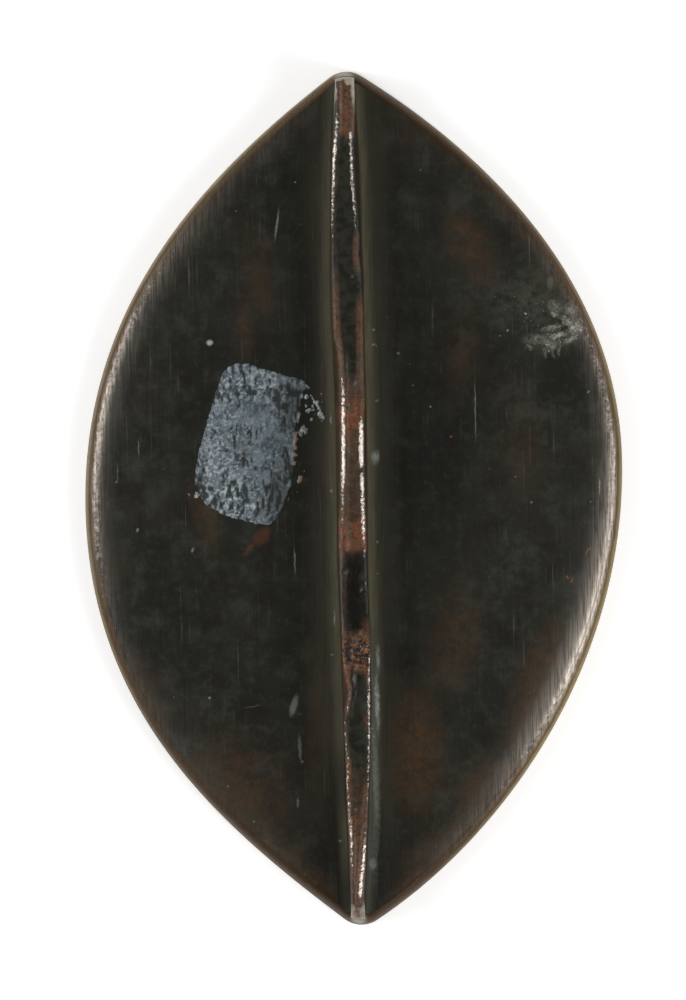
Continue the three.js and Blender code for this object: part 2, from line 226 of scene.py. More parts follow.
def lattice(x, y, cell, seed):
    """Smooth seeded noise between -1 and 1, which changes over about one cell."""
    grid = np.random.default_rng(seed).uniform(-1, 1, (NOISE_GRID, NOISE_GRID))
    column = np.floor(x / cell).astype(int)
    row = np.floor(y / cell).astype(int)
    across = smoothstep(0, 1, x / cell - column)
    up = smoothstep(0, 1, y / cell - row)
    c0, c1 = column % NOISE_GRID, (column + 1) % NOISE_GRID
    r0, r1 = row % NOISE_GRID, (row + 1) % NOISE_GRID
    low = blend(grid[c0, r0], grid[c1, r0], across)
    high = blend(grid[c0, r1], grid[c1, r1], across)
    return blend(low, high, up)


def rough(x, y, name):
    """A named noise, with finer and weaker noise on top."""
    cell, seed, octaves = (*NOISE[name], 3)[:3]
    first, second = SQUEEZE.get(name, (1, 1))
    x, y = x * first, y * second
    total = np.zeros(np.broadcast(x, y).shape)
    for octave in range(octaves):
        total = total + lattice(x, y, cell / 2**octave, seed + octave) / 2**octave
    return total


def along_table(table, y):
    places, values = np.array(table[::-1]).T
    return np.interp(y, places, values)


def from_photo(column, row):
    """The place in millimetres of a pixel of the photograph, which looks straight down."""
    tilt = math.radians(PHOTO_TILT)
    right, down = column - PHOTO_MIDDLE[0], row - PHOTO_MIDDLE[1]
    x = (right * math.cos(tilt) - down * math.sin(tilt)) / PIXELS_PER_MM
    y = -(right * math.sin(tilt) + down * math.cos(tilt)) / PIXELS_PER_MM
    return x, y


def oval_share(x, y, column, row, half_width, half_length, turn):
    """How far each point is from an oval's middle, as a share of the way to its edge."""
    cos, sin = math.cos(math.radians(turn)), math.sin(math.radians(turn))
    middle = from_photo(column, row)
    dx, dy = (x - middle[0]) * PIXELS_PER_MM, (y - middle[1]) * PIXELS_PER_MM
    return np.hypot((dx * cos + dy * sin) / half_width, (dy * cos - dx * sin) / half_length)


def ovals(x, y, table):
    """The strongest of a table of soft ovals: column, row, half width, half length, turn and strength."""
    strongest = np.zeros(np.shape(x))
    for *oval, strength in table:
        share = 1 - smoothstep(0.0, OVAL_SOFTNESS, oval_share(x, y, *oval))
        strongest = np.maximum(strongest, strength * share)
    return strongest


# Outline


def quarter(side, end):
    """One quarter of the outline, from where it leaves a tip's rounding to where it is widest."""
    angle = math.radians(TIP_ANGLE[side][end])
    start = tip_rounding(side, end)[-1]
    waist = np.array([OUT[side] * HALF_WIDTH, WAIST_RISE[side]])
    rise = abs(start[1] - waist[1])
    along = np.array([OUT[side] * math.sin(angle), -UP[end] * math.cos(angle)])
    leaving = start + along * TIP_HANDLE_SHARE[side][end] * rise
    arriving = waist + np.array([0, UP[end] * WAIST_HANDLE_SHARE[side][end] * rise])
    t = np.linspace(0, 1, CURVE_POINTS)[:, None]
    near = start * (1 - t) ** 3 + 3 * leaving * t * (1 - t) ** 2
    return near + 3 * arriving * t**2 * (1 - t) + waist * t**3


def tip_rounding(side, end):
    """Half of a tip's rounding, from its point to where the flank leaves it."""
    turns = np.linspace(0, math.radians(90 - TIP_ANGLE[side][end]), TIP_POINTS)
    y = HALF_LENGTH - TIP_RADIUS + TIP_RADIUS * np.cos(turns)
    return np.column_stack([OUT[side] * TIP_RADIUS * np.sin(turns), UP[end] * y])


def run_along(path):
    """How far along a path each of its points is."""
    return np.concatenate([[0], np.cumsum(np.linalg.norm(np.diff(path, axis=0), axis=1))])


def flank(side):
    """One flank from the point of the tail to the point of the head, at equal steps."""
    tail, head = (np.vstack([tip_rounding(side, end), quarter(side, end)[1:]]) for end in ("tail", "head"))
    path = np.vstack([tail, head[::-1][1:]])
    run = run_along(path)
    at = np.linspace(0, run[-1], FLANK_POINTS + 1)
    return np.column_stack([np.interp(at, run, path[:, axis]) for axis in (0, 1)])


OUTLINE = np.vstack([flank("right")[:-1], flank("left")[::-1][:-1]])
TIP_SLOPE = math.sin(math.radians(np.mean([a for ends in TIP_ANGLE.values() for a in ends.values()])))


def inset(distance, z=0.0, every=1):
    """The outline drawn in by a distance, at one height, as a ring of points."""
    tip_distance = min(distance, TIP_RADIUS) + max(distance - TIP_RADIUS, 0) / TIP_SLOPE
    shares = [(HALF_WIDTH - distance) / HALF_WIDTH, (HALF_LENGTH - tip_distance) / HALF_LENGTH]
    ring = OUTLINE[::every] * shares
    return np.column_stack([ring, np.full(len(ring), z)])


# Meshes


def skin(rings):
    """Faces that join each ring to the next, which has as many points or half as many."""
    faces = []
    start = 0
    for near, far in zip(rings, rings[1:]):
        count = len(near)
        above = start + count
        for i in range(len(far)):
            j = (i + 1) % len(far)
            if len(far) == count:
                faces.append((start + i, start + j, above + j, above + i))
                continue
            first, second, third = start + 2 * i, start + 2 * i + 1, start + (2 * i + 2) % count
            faces += [(first, second, above + i), (second, above + j, above + i)]
            faces.append((second, third, above + j))
        start = above
    return faces


def loft(rings, looped=False):
    """A closed surface through rings. Both ends are capped, unless the last ring joins the first."""
    points = np.vstack(rings)
    if looped:
        joined = skin([*rings, rings[0]])
        return points, [tuple(v % len(points) for v in face) for face in joined]
    last = len(points) - len(rings[-1])
    caps = [tuple(range(len(rings[0])))[::-1], tuple(range(last, len(points)))]
    return points, skin(rings) + caps


def turned(profile, sides):
    """A closed solid turned about Z, from radius and height. Its first and last point are on the axis."""
    angles = np.arange(sides) * 2 * math.pi / sides
    round_about = np.column_stack([np.cos(angles), np.sin(angles)])
    rings = [np.column_stack([radius * round_about, np.full(sides, z)]) for radius, z in profile[1:-1]]
    points = np.vstack([*rings, [[0, 0, profile[0][1]], [0, 0, profile[-1][1]]]])
    faces = skin(rings)
    bottom, top = len(points) - 2, len(points) - 1
    last = (len(rings) - 1) * sides
    for i in range(sides):
        j = (i + 1) % sides
        faces += [(bottom, j, i), (top, last + i, last + j)]
    return points, faces


def merged(solids):
    points, faces, start = [], [], 0
    for solid_points, solid_faces in solids:
        points.append(solid_points)
        faces += [tuple(v + start for v in face) for face in solid_faces]
        start += len(solid_points)
    return np.vstack(points), faces


def linked(name, data):
    made = bpy.data.objects.new(name, data)
    bpy.context.scene.collection.objects.link(made)
    return made


def mesh_object(name, solid):
    points, faces = solid
    mesh = bpy.data.meshes.new(name)
    mesh.from_pydata(np.asarray(points, float).tolist(), [], faces)
    return linked(name, mesh)


def carved(body, tools, operation="DIFFERENCE"):
    """The body's mesh after each tool in turn has cut it, or has trimmed it to itself."""
    for tool in tools:
        cut = body.modifiers.new("cut", "BOOLEAN")
        cut.solver = "MANIFOLD"
        cut.operation = operation
        cut.object = tool
    bpy.context.view_layer.update()
    result = bpy.data.meshes.new_from_object(body.evaluated_get(bpy.context.evaluated_depsgraph_get()))
    body.modifiers.clear()
    body.data = result
    for tool in tools:
        bpy.data.objects.remove(tool)


def positions(piece):
    values = np.zeros(len(piece.data.vertices) * 3)
    piece.data.vertices.foreach_get("co", values)
    return values.reshape(-1, 3)


def give(piece, **layers):
    """Stores numbers for each vertex, for the material to read by their names."""
    for name, values in layers.items():
        layer = piece.data.attributes.new(name, "FLOAT", "POINT")
        layer.data.foreach_set("value", np.ascontiguousarray(values, np.float32))


def finish(piece, node, material, sharp_angle):
    """Turns the piece to metres, smooths it up to an angle, and puts it in the place of its CAD node."""
    mesh = piece.data
    mesh.transform(Matrix.Scale(MM, 4))
    mesh.polygons.foreach_set("use_smooth", np.ones(len(mesh.polygons), bool))
    mesh.set_sharp_from_angle(angle=math.radians(sharp_angle))
    mesh.materials.clear()
    mesh.materials.append(material)
    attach(piece, "root")
    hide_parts(node)


# Plate


def back_relief(x, y):
    """Slow waves that filing and handling have left on the back."""
    return BACK_RELIEF * (rough(x, y, "back_wave") + 0.5 * rough(x, y, "back_ripple")) / 2


def back_ring(distance, z, drop, every=1):
    ring = inset(distance, z, every)
    share = smoothstep(FLAT_BAND, FLAT_BAND + ROLL_FADE, np.abs(ring[:, 0]))
    ring[:, 2] -= drop * share
    for side, y, reach, width, depth in WORN_ROLLS:
        along = 1 - smoothstep(reach * WORN_FULL, reach, np.abs(ring[:, 1] - y))
        across = max(1 - max(distance - BACK_INSET, 0) / width, 0) ** 2
        on_side = ring[:, 0] * OUT[side] > 0
        ring[:, 2] -= depth * along * across * on_side * min(distance / SIDE_DRAFT, 1)
    return ring


def worn_in(ring, noise, amount):
    """Draws a ring in towards the middle, here more and there less, and never out."""
    x, y = ring[:, 0], ring[:, 1]
    share = rough(x, y, noise) * WEAR_SHARES["swing"] + WEAR_SHARES["mean"]
    ring[:, :2] *= (1 - np.clip(share, 0, 1) * amount / np.hypot(x, y))[:, None]
    return ring


def side_rings():
    """The side from the face's arris up: steep at first, then rounding over to the back."""
    low = worn_in(inset(FACE_ARRIS), "arris", ARRIS_RELIEF["low"])
    arris = worn_in(inset(FACE_ARRIS / 3, FACE_ARRIS / 3), "arris", ARRIS_RELIEF["high"])
    rings = [low, arris]
    for i in range(SIDE_RINGS):
        angle = i / SIDE_RINGS * math.pi / 2
        height = blend(FACE_ARRIS, PLATE_THICKNESS, math.sin(angle))
        ring = back_ring(BACK_INSET * (1 - math.cos(angle)), height, ROLL_DROP * math.sin(angle))
        if i:
            ring = worn_in(ring, "rim", RIM_RELIEF)
        nicks = smoothstep(*NICK_RANGE, rough(ring[:, 0], ring[:, 1], "nicks")) * NICK_DEPTH
        ring[:, 2] -= nicks * math.sin(angle) ** 4
        rings.append(ring)
    return rings


def back_rings():
    rings = []
    for i in range(BACK_RINGS):
        distance = blend(BACK_INSET, BACK_INNER_INSET, (i / (BACK_RINGS - 1)) ** BACK_CROWDING)
        every = next(step for reach, step in RING_STEPS if distance < reach)
        roll_share = min((distance - BACK_INSET) / ROLL_WIDTH, 1)
        ring = back_ring(distance, PLATE_THICKNESS, ROLL_DROP * (1 - roll_share) ** 2, every)
        ring[:, 2] += back_relief(ring[:, 0], ring[:, 1])
        rings.append(ring)
    return rings


def places(ring, pitch, per_pitch=1):
    """Places along a closed ring at about a pitch, with the direction of travel at each."""
    closed = np.vstack([ring, ring[:1]])[:, :2]
    run = run_along(closed)
    count = per_pitch * round(run[-1] / pitch)
    for i in range(count):
        at = run[-1] * (2 * i + 1) / (2 * count)
        here = [np.interp(at, run, closed[:, axis]) for axis in (0, 1)]
        k = min(np.searchsorted(run, at), len(closed) - 1)
        way = closed[k] - closed[k - 1]
        yield *here, math.atan2(way[1], way[0])


def placed(solid, x, y, turn=0.0, scale=(1, 1, 1)):
    points, faces = solid
    px, py, pz = (points * scale).T
    cos, sin = math.cos(turn), math.sin(turn)
    return np.column_stack([px * cos - py * sin + x, px * sin + py * cos + y, pz]), faces


def furrow(distance):
    half = LINE["width"] / 2 * (1 + OVERRUN / LINE["depth"])
    section = [(distance - half, -OVERRUN), (distance, LINE["depth"]), (distance + half, -OVERRUN)]
    return loft([inset(*place) for place in section], looped=True)


def dimple(size, x, y):
    radius, depth = size["radius"], size["depth"]
    bowl = [(radius * across, depth * down) for across, down in PIT_SHARES]
    profile = [(0, -OVERRUN), (radius, -OVERRUN), (radius, 0), *bowl, (0, depth)]
    return placed(turned(profile, size["sides"]), x, y)


def lozenge_cut(x, y, turn):
    reach = LOZENGE["length"] / 2 * (1 + OVERRUN / LOZENGE["depth"])
    solid = turned([(0, -OVERRUN), (reach, -OVERRUN), (0, LOZENGE["depth"])], 4)
    return placed(solid, x, y, turn, (1, LOZENGE["width"] / LOZENGE["length"], 1))


def gouge(size, x, y, turn=0.0):
    """A cut pointed at both ends, as a graver leaves it: a spindle half sunk in the face, along Y."""
    length, width, depth = size["length"], size["width"], size["depth"]
    profile = []
    for i in range(GOUGE_STEPS + 1):
        share = i / GOUGE_STEPS
        swell = math.sin(math.pi * share) ** GOUGE_TAPER if 0 < i < GOUGE_STEPS else 0
        profile.append((width / 2 * swell, length * share - length / 2))
    points, faces = turned(profile, GOUGE_SIDES)
    lying = np.column_stack([points[:, 0], points[:, 2], -points[:, 1] * depth / (width / 2)])
    return placed((lying, faces), x, y, turn)


def border_cuts():
    row = [dimple(BEADS, x, y) for x, y, _ in places(inset(BEADS["inset"]), BEADS["pitch"])]
    return [*row, furrow(LINE_INSET["outer"]), furrow(LINE_INSET["inner"])]


def legend_cuts():
    """A cross at the head, then pellets and lozenges by turns. The band bears no letters."""
    ring = inset((LINE_INSET["outer"] + LINE_INSET["inner"]) / 2)
    cross_y = ring[:, 1].max()
    cuts = []
    for i, (x, y, turn) in enumerate(places(ring, LEGEND_PITCH, 2)):
        if math.hypot(x, y - cross_y) < LEGEND_PITCH / 2:
            continue
        cuts.append(dimple(PELLET, x, y) if i % 2 else lozenge_cut(x, y, turn))
    for turn in np.arange(4) * math.pi / 2:
        x, y = -CROSS_REACH * math.sin(turn), cross_y + CROSS_REACH * math.cos(turn)
        cuts.append(gouge(CROSS_ARM, x, y, turn))
    return cuts


def leaf_cuts(side):
    lean = math.radians(LEAF_PLACE["lean"])
    cuts = []
    for i, length in enumerate(LEAF_LENGTHS):
        reach = LEAF_PLACE["root"] + length / 2
        y = LEAF_PLACE["lowest"] + i * LEAF_PLACE["pitch"] + reach * math.cos(lean)
        cuts.append(gouge({**LEAF, "length": length}, side * reach * math.sin(lean), y, -side * lean))
    return cuts


def star_cuts(ray):
    turn = ray * math.pi / 3
    return [gouge(STAR, side * STAR_PLACE["x"], STAR_PLACE["y"], turn) for side in (-1, 1)]


def intaglio():
    """Batches of cuts. The cuts of one batch are clear of each other."""
    lean = math.radians(SIDE_PETAL_PLACE["lean"])
    x, y = SIDE_PETAL_PLACE["x"], SIDE_PETAL_PLACE["y"]
    return [
        border_cuts() + legend_cuts(),
        [gouge(STEM, 0, STEM_Y), *star_cuts(0)],
        [*leaf_cuts(-1), *leaf_cuts(1), *star_cuts(1)],
        [gouge(COLLAR, 0, COLLAR_Y, math.pi / 2), *star_cuts(2)],
        [gouge(PETAL, 0, PETAL_Y)],
        [gouge(SIDE_PETAL, side * x, y, -side * lean) for side in (-1, 1)],
    ]


def matrix_plate(material):
    body = mesh_object("plate", loft([*side_rings(), *back_rings()]))
    tools = [mesh_object("cuts", merged(batch)) for batch in intaglio()]
    carved(body, [*tools, mesh_object("groove", groove())])
    points = positions(body)
    x, y, z = points.T
    rim = rim_distance(points)
    on_back = smoothstep(SIDE_TOP - ROLL_DROP - OVERRUN, SIDE_TOP - ROLL_DROP, z)
    swing = BROWN_REACH["swing"] * rough(x, y, "brown")
    brown_reach = np.maximum(BROWN_REACH["mean"] + swing, BROWN_REACH["least"])
    brown_rim = along_rims(points, "brown") * (1 - smoothstep(0.0, 1.0, rim / brown_reach))
    # Painted light: the back lighter beside the rib, against the rib's shadow.
    beside = {side: along_table(BESIDE_RIB_PAINTED_LIGHT[side], y) for side in OUT}
    near = np.where(x > RIB_OFFSET, beside["right"], beside["left"])
    give(
        body, rim=rim, amber=smoothstep(-AMBER_REACH, AMBER_REACH, x),
        brown=np.maximum(ovals(x, y, BROWN_PATCHES), brown_rim) * on_back,
        cloud=ovals(x, y, CLOUD_PATCHES) * on_back, dark=ovals(x, y, DARK_PATCHES) * on_back,
        near=near * smoothstep(*NEAR_RIB, np.abs(x - RIB_OFFSET)) * on_back,
        **{name: along_rims(points, name) for name in ("worn", "sheen", "gold")},
    )
    finish(body, "matrix_plate", material, sharp_angle=34)


def rim_distance(points):
    """How far each point is in from the outline, seen from above."""
    nearest = np.zeros(len(points))
    for start in range(0, len(points), RIM_BATCH):
        part = points[start:start + RIM_BATCH, None, :2] - OUTLINE[None, :, :]
        nearest[start:start + RIM_BATCH] = np.sqrt((part**2).sum(axis=2).min(axis=1))
    return nearest


# Along each rim from the head down: how far it is worn to metal, the painted sheen beside it, which is
# partly worn patina and partly a painted reflection, how golden its side is, darker at the tail partly
# as painted shade, and how brown the back is beside it.
RIM_PLACES = [33.0, 29.0, 24.0, 18.5, 13.0, 7.5, 2.0, -3.5, -9.0, -15.0, -20.5, -26.0, -31.5]
RIM_SHARES = {
    "worn": {
        "left": [0.0, 0.0, 0.2, 0.5, 0.9, 1.02, 0.86, 0.6, 0.28, 0.15, 0.1, 0.05, 0.0],
        "right": [0.0, 0.0, 0.1, 0.3, 0.5, 0.72, 0.98, 1.08, 1.2, 1.0, 0.6, 0.25, 0.1],
    },
    "sheen": {
        "left": [0.05, 0.08, 0.14, 0.28, 0.28, 0.18, 0.15, 0.12, 0.06, 0.05, 0.05, 0.04, 0.0],
        "right": [0.0, 0.0, 0.03, 0.05, 0.15, 0.2, 0.35, 0.6, 0.9, 0.8, 0.5, 0.15, 0.0],
    },
    "gold": {
        "left": [0.9, 1.0, 0.95, 0.85, 0.75, 0.7, 0.75, 0.65, 0.5, 0.35, 0.15, 0.05, 0.0],
        "right": [0.2, 0.35, 0.3, 0.4, 0.55, 0.6, 0.6, 0.6, 0.7, 0.75, 0.75, 0.4, 0.1],
    },
    "brown": {
        "left": [0.3, 0.35, 0.3, 0.1, 0.0, 0.0, 0.1, 0.3, 0.5, 0.6, 0.9, 1.0, 0.9],
        "right": [0.3, 0.35, 0.35, 0.5, 0.3, 0.1, 0.0, 0.1, 0.25, 0.7, 0.8, 0.8, 0.8],
    },
}
# Soft patches on the back, as ovals takes them.
BROWN_PATCHES = [
    (259, 280, 14, 54, 5, 0.5), (470, 247, 21, 42, 25, 0.65), (463, 355, 20, 50, -5, 0.3),
    (206, 513, 14, 40, 10, 0.6), (455, 640, 26, 54, -10, 0.6), (415, 752, 28, 63, 0, 1.25),
    (245, 330, 10, 35, 0, 0.5), (540, 690, 26, 70, -18, 0.9), (316, 734, 14, 94, 0, 0.35),
    (480, 795, 28, 50, -35, 0.7), (523, 448, 19, 59, 5, 0.3), (240, 790, 50, 60, 35, 0.6),
]
CLOUD_PATCHES = [(531, 307, 54, 31, -25, 0.75), (558, 335, 34, 17, 12, 1.0), (572, 325, 14, 18, -35, 1.0)]
DARK_PATCHES = [
    (305, 346, 14, 153, 0, 0.9), (389, 650, 11, 118, -1, 0.5), (413, 638, 11, 118, 0, 0.5),
    (435, 438, 42, 176, 0, 1.0), (192, 607, 35, 82, 20, 0.5), (285, 594, 29, 94, 0, 0.6),
    (269, 359, 35, 47, 0, 0.7), (189, 454, 18, 94, -5, 0.6), (295, 781, 24, 82, 5, 0.5),
]
# How much the plate is painted lighter beside the rib, as painted light against the rib's shadow, and how
# light the brazing is, partly its own tone and partly painted light, from the head down.
BESIDE_RIB_PAINTED_LIGHT = {
    "left": [
        (36, 0.5), (30, 0.55), (27, 0.8), (20, 1.0), (0, 0.9), (-9, 1.0), (-20, 1.0), (-23, 0.4),
        (-26, 0.1), (-36, 0),
    ],
    "right": [
        (36, 0.5), (27, 0.7), (10, 0.9), (0, 0.7), (-9, 0.9), (-20, 0.8), (-24, 0.9), (-28, 0.4),
        (-34, 0.1),
    ],
}
BRAZE_LIGHT = {
    "left": [
        (36, 0.1), (33, 0.4), (26, 0.5), (14, 0.6), (9, 0.8), (5, 1.0), (-9, 0.95), (-13, 0.75), (-17, 0.5),
        (-23, 0.15), (-25, 0.2), (-28, 0.75), (-30, 0.7), (-33, 0.1), (-36, 0),
    ],
    "right": [
        (36, 0.3), (32, 1.0), (27, 0.75), (20, 1.0), (13, 1.25), (5, 1.1), (-9, 0.95), (-29, 1.0),
        (-33, 0.9), (-36, 0.6),
    ],
}


def along_rims(points, name):
    shares = RIM_SHARES[name]
    left, right = (np.interp(points[:, 1], RIM_PLACES[::-1], shares[side][::-1]) for side in OUT)
    return np.where(points[:, 0] > 0, right, left)


# Rib, its groove and its brazing


def groove():
    top = PLATE_THICKNESS + OVERRUN
    rings = []
    for y in np.linspace(-HALF_LENGTH - OVERRUN, HALF_LENGTH + OVERRUN, BRAZE_STATIONS):
        left, right = (RIB_OFFSET + out * along_table(FOOT[side], y) for side, out in OUT.items())
        rings.append(np.array([(right, y, RIB_SEAT), (left, y, RIB_SEAT), (left, y, top), (right, y, top)]))
    return loft(rings)


# Flaws of the rib: place along it, across it from its middle, radius and depth. A rise is negative.
RIB_FLAWS = [
    (-12.4, -0.25, 0.5, 0.28), (-13.6, 0.45, 0.45, 0.3), (-12.9, 0.9, 0.35, 0.22), (-14.4, -0.1, 0.5, 0.22),
    (-13.1, -0.7, 0.35, 0.25), (-13.9, -0.55, 0.25, -0.12), (-12.2, 0.35, 0.25, -0.14),
    (-13.2, 0.2, 0.2, -0.16), (-11.6, 0.8, 0.3, 0.18), (-15.3, -0.3, 0.35, 0.15),
    (-26.9, -0.52, 0.28, -0.16), (-27.5, -0.3, 0.2, 0.14), (-26.3, -0.3, 0.2, 0.16),
    (-27.7, -0.62, 0.2, -0.12), (9.4, 0.6, 0.3, 0.1), (6.9, 0.35, 0.25, 0.12), (18.6, 0.55, 0.28, 0.08),
    (18.0, 0.7, 0.2, -0.06), (16.9, 0.6, 0.3, -0.06), (-6.3, -0.8, 0.25, 0.1), (-7.9, 0.9, 0.2, 0.1),
    (-4.0, -0.6, 0.3, 0.1), (-20.2, 0.2, 0.25, 0.06), (30.9, 0.4, 0.2, -0.06), (-35.2, -0.1, 0.25, 0.12),
    (-34.4, 0.0, 0.22, 0.1),
]
ROUGH_PLACES = [(-13.3, 1.6, 1.0), (-27.0, 1.0, 0.5)]  # place along the rib, reach and strength
RIPPLE = {"crest": (0.012, 0.06), "wall": (0.015, 0.05)}  # everywhere, and added in a rough place
CREST_WAVE = 0.02
CREST_SUNK = -0.02
WEAR_TOP = 0.6  # how far below the ends' crest the rib is as worn as on it


def crest_height(y):
    """How high the crest is, before its wear."""
    return PLATE_THICKNESS + blend(RIB_RISE["middle"], RIB_RISE["end"], (y / HALF_LENGTH) ** 2)


def rib_half(side, y, crest):
    """Places out from the rib's middle and up, from the foot of one wall to its edge's rounding."""
    foot = along_table(FOOT[side], y)
    wander = GLINT_WANDER * rough(y, NOISE_SIDE["glint"] * OUT[side], "glint")
    glint = along_table(GLINT[side], y) + wander
    edge = np.clip((foot - RIB_EDGE_CLEAR - glint) / GLINT_SHARE, RIB_EDGE["least"], RIB_EDGE["most"])
    outer = glint + edge * GLINT_SHARE
    spring = crest - edge
    half = [(foot, RIB_SEAT), (foot, PLATE_THICKNESS), (foot, BRAZE_TOP)]
    half += [(blend(foot, outer, k**WALL_HOLLOW), blend(BRAZE_TOP, spring, k)) for k in WALL_SHARES]
    for angle in np.linspace(0, math.pi / 2, EDGE_POINTS):
        x = outer - edge * (1 - math.cos(angle))
        half.append((x, spring + (edge - RIB_CROWN) * math.sin(angle)))
    return half


def rib_section(y):
    """Points across the rib from the foot of its right wall over the crest to the foot of its left."""
    crest = crest_height(y) - CREST_WORN
    right, left = rib_half("right", y, crest), [(-x, z) for x, z in rib_half("left", y, crest)[::-1]]
    over = []
    for share in np.linspace(0, 1, CREST_POINTS + 2)[1:-1]:
        over.append((blend(right[-1][0], left[0][0], share), crest - RIB_CROWN * (2 * share - 1) ** 2))
    return np.array([(x, y, z) for x, z in right + over + left])


def rib_wear(points):
    """Moves the rib's points by its casting flaws and its wear."""
    x, y, z = points.T
    upper = smoothstep(BRAZE_TOP, PLATE_THICKNESS + RIB_RISE["end"] - WEAR_TOP, z)
    rougher = sum(strength * np.exp(-((y - place) / reach) ** 2) for place, reach, strength in ROUGH_PLACES)
    crest, wall = (even + more * rougher for even, more in (RIPPLE["crest"], RIPPLE["wall"]))
    lift = CREST_SUNK + rough(x, y, "crest_ripple") * crest
    lift = lift + CREST_WAVE * rough(x, y, "crest_wave")
    for place, across, radius, depth in RIB_FLAWS:
        lift = lift - depth * np.exp(-((x - across) ** 2 + (y - place) ** 2) / radius**2)
    moved = points.copy()
    moved[:, 2] += upper * lift
    moved[:, 0] += upper * rough(y, z, "wall_bulge") * wall * np.sign(x)
    return moved


def spine_rib(material):
    rings = []
    for y in np.linspace(-HALF_LENGTH - OVERRUN, HALF_LENGTH + OVERRUN, RIB_STATIONS):
        section = rib_wear(rib_section(y)) + (RIB_OFFSET, 0, 0)
        rings.append(section[::-1])
    body = mesh_object("rib", loft(rings))
    carved(body, [mesh_object("filed", loft(rib_ends()))], "INTERSECT")
    give(body, **rib_marks(positions(body) - (RIB_OFFSET, 0, 0)))
    finish(body, "spine_rib", material, sharp_angle=50)


def rib_ends():
    """Rings around what is left of the rib: filed flush with the plate's side, then rounded to the crest."""
    end_crest = PLATE_THICKNESS + RIB_RISE["end"]
    spring = end_crest - END_ROUND
    flush = SIDE_DRAFT + HAIR
    rings = [inset(HAIR, FACE_ARRIS), inset(flush, SIDE_TOP), inset(flush + END_LEAN, spring)]
    for angle in np.linspace(0, math.pi / 2, EDGE_POINTS)[1:]:
        distance = flush + END_LEAN + END_ROUND * (1 - math.cos(angle))
        rings.append(inset(distance, spring + END_ROUND * math.sin(angle)))
    rings.append(inset(END_RUN["inset"], end_crest + END_RUN["rise"]))
    return rings


# How far below the crest each mark of the rib comes in or fades, and where along it some begin and end.
FADE = {
    "bright": (1.2, 0.5), "wall_red": (0.8, 2.0), "hot": (2.0, 0.6), "flaw": (2.4, 0.8),
    "shade": (0.4, 1.0), "pale": (2.6, 0.7),
}
SPAN = {
    "coal_head": (-4.0, -5.8), "coal_tail": (-17.0, -14.0), "pale_head": (34.9, 35.5),
    "pale_edge": (31.6, 34.4), "pale_tail": (-33.7, -34.7),
}
# Where some begin and end across it, as a share of the way out to its bright edge.
ACROSS = {"red": (0.35, 0.85), "coal": (1.05, 0.6), "pale_head": (0.85, 1.3), "pale_tail": (0.5, 1.0)}
FLAWED = {"middle": -13.0, "reach": 1.5}
GLINT_WIDTH = {"least": 0.12, "bright": 0.15}
WALL_RED = {"mean": 0.5, "swing": 0.35}
WALL_SHADE = {"left": 0.4, "right": 1.0}
PALE_SHARE = {"head_edge": 0.6, "tail": 0.42, "tail_edge": 0.55}
WANDER = 0.25
COAL_WANDER = 0.3


def rib_marks(points):
    """How bright, red, hot, flawed, black, shaded and pale the rib is at each of its points."""
    x, y, z = points.T
    depth = crest_height(y) - z
    bright, edge, red = np.zeros(len(x)), np.zeros(len(x)), along_table(CREST_RED, y)
    for side, out in OUT.items():
        glint, strength = along_table(GLINT[side], y), along_table(EDGE_BRIGHT[side], y)
        across = out * x / glint
        away = (across - 1) * glint / (GLINT_WIDTH["least"] + GLINT_WIDTH["bright"] * strength)
        bright += np.exp(-away**2) * smoothstep(*FADE["bright"], depth) * strength
        red = blend(red, along_table(EDGE_RED[side], y), smoothstep(*ACROSS["red"], across))
        edge = np.maximum(edge, across)
    wander = WANDER * rough(x, y, "wander")
    wall_red = WALL_RED["mean"] + WALL_RED["swing"] * rough(y, z, "wall_red")
    coal = smoothstep(*SPAN["coal_head"], y) * smoothstep(*SPAN["coal_tail"], y)
    coal_reach = edge + COAL_WANDER * rough(x, y, "coal")
    head_edge = smoothstep(*ACROSS["pale_head"], edge + wander) * smoothstep(*SPAN["pale_edge"], y)
    head = np.maximum(smoothstep(*SPAN["pale_head"], y + wander), head_edge * PALE_SHARE["head_edge"])
    tail_edge = smoothstep(*ACROSS["pale_tail"], edge)
    tail = smoothstep(*SPAN["pale_tail"], y + wander)
    tail = tail * blend(PALE_SHARE["tail"], PALE_SHARE["tail_edge"], tail_edge)
    flaw = np.exp(-((y - FLAWED["middle"]) / FLAWED["reach"]) ** 4)
    wall_shade = np.where(x > 0, WALL_SHADE["right"], WALL_SHADE["left"])
    return {
        "bright": bright,
        "red": blend(red, wall_red, smoothstep(*FADE["wall_red"], depth)),
        "hot": along_table(CREST_HOT, y) * smoothstep(*FADE["hot"], depth),
        "flaw": flaw * smoothstep(*FADE["flaw"], depth),
        "coal": coal * smoothstep(*ACROSS["coal"], coal_reach),
        # Painted shade on the walls: full on the right and weaker on the left.
        "shade": smoothstep(*FADE["shade"], depth) * wall_shade,
        # Painted reflection: the ends pale where they round down, as a grazing reflection.
        "pale": np.maximum(head, tail) * smoothstep(*FADE["pale"], depth + 2 * wander),
    }


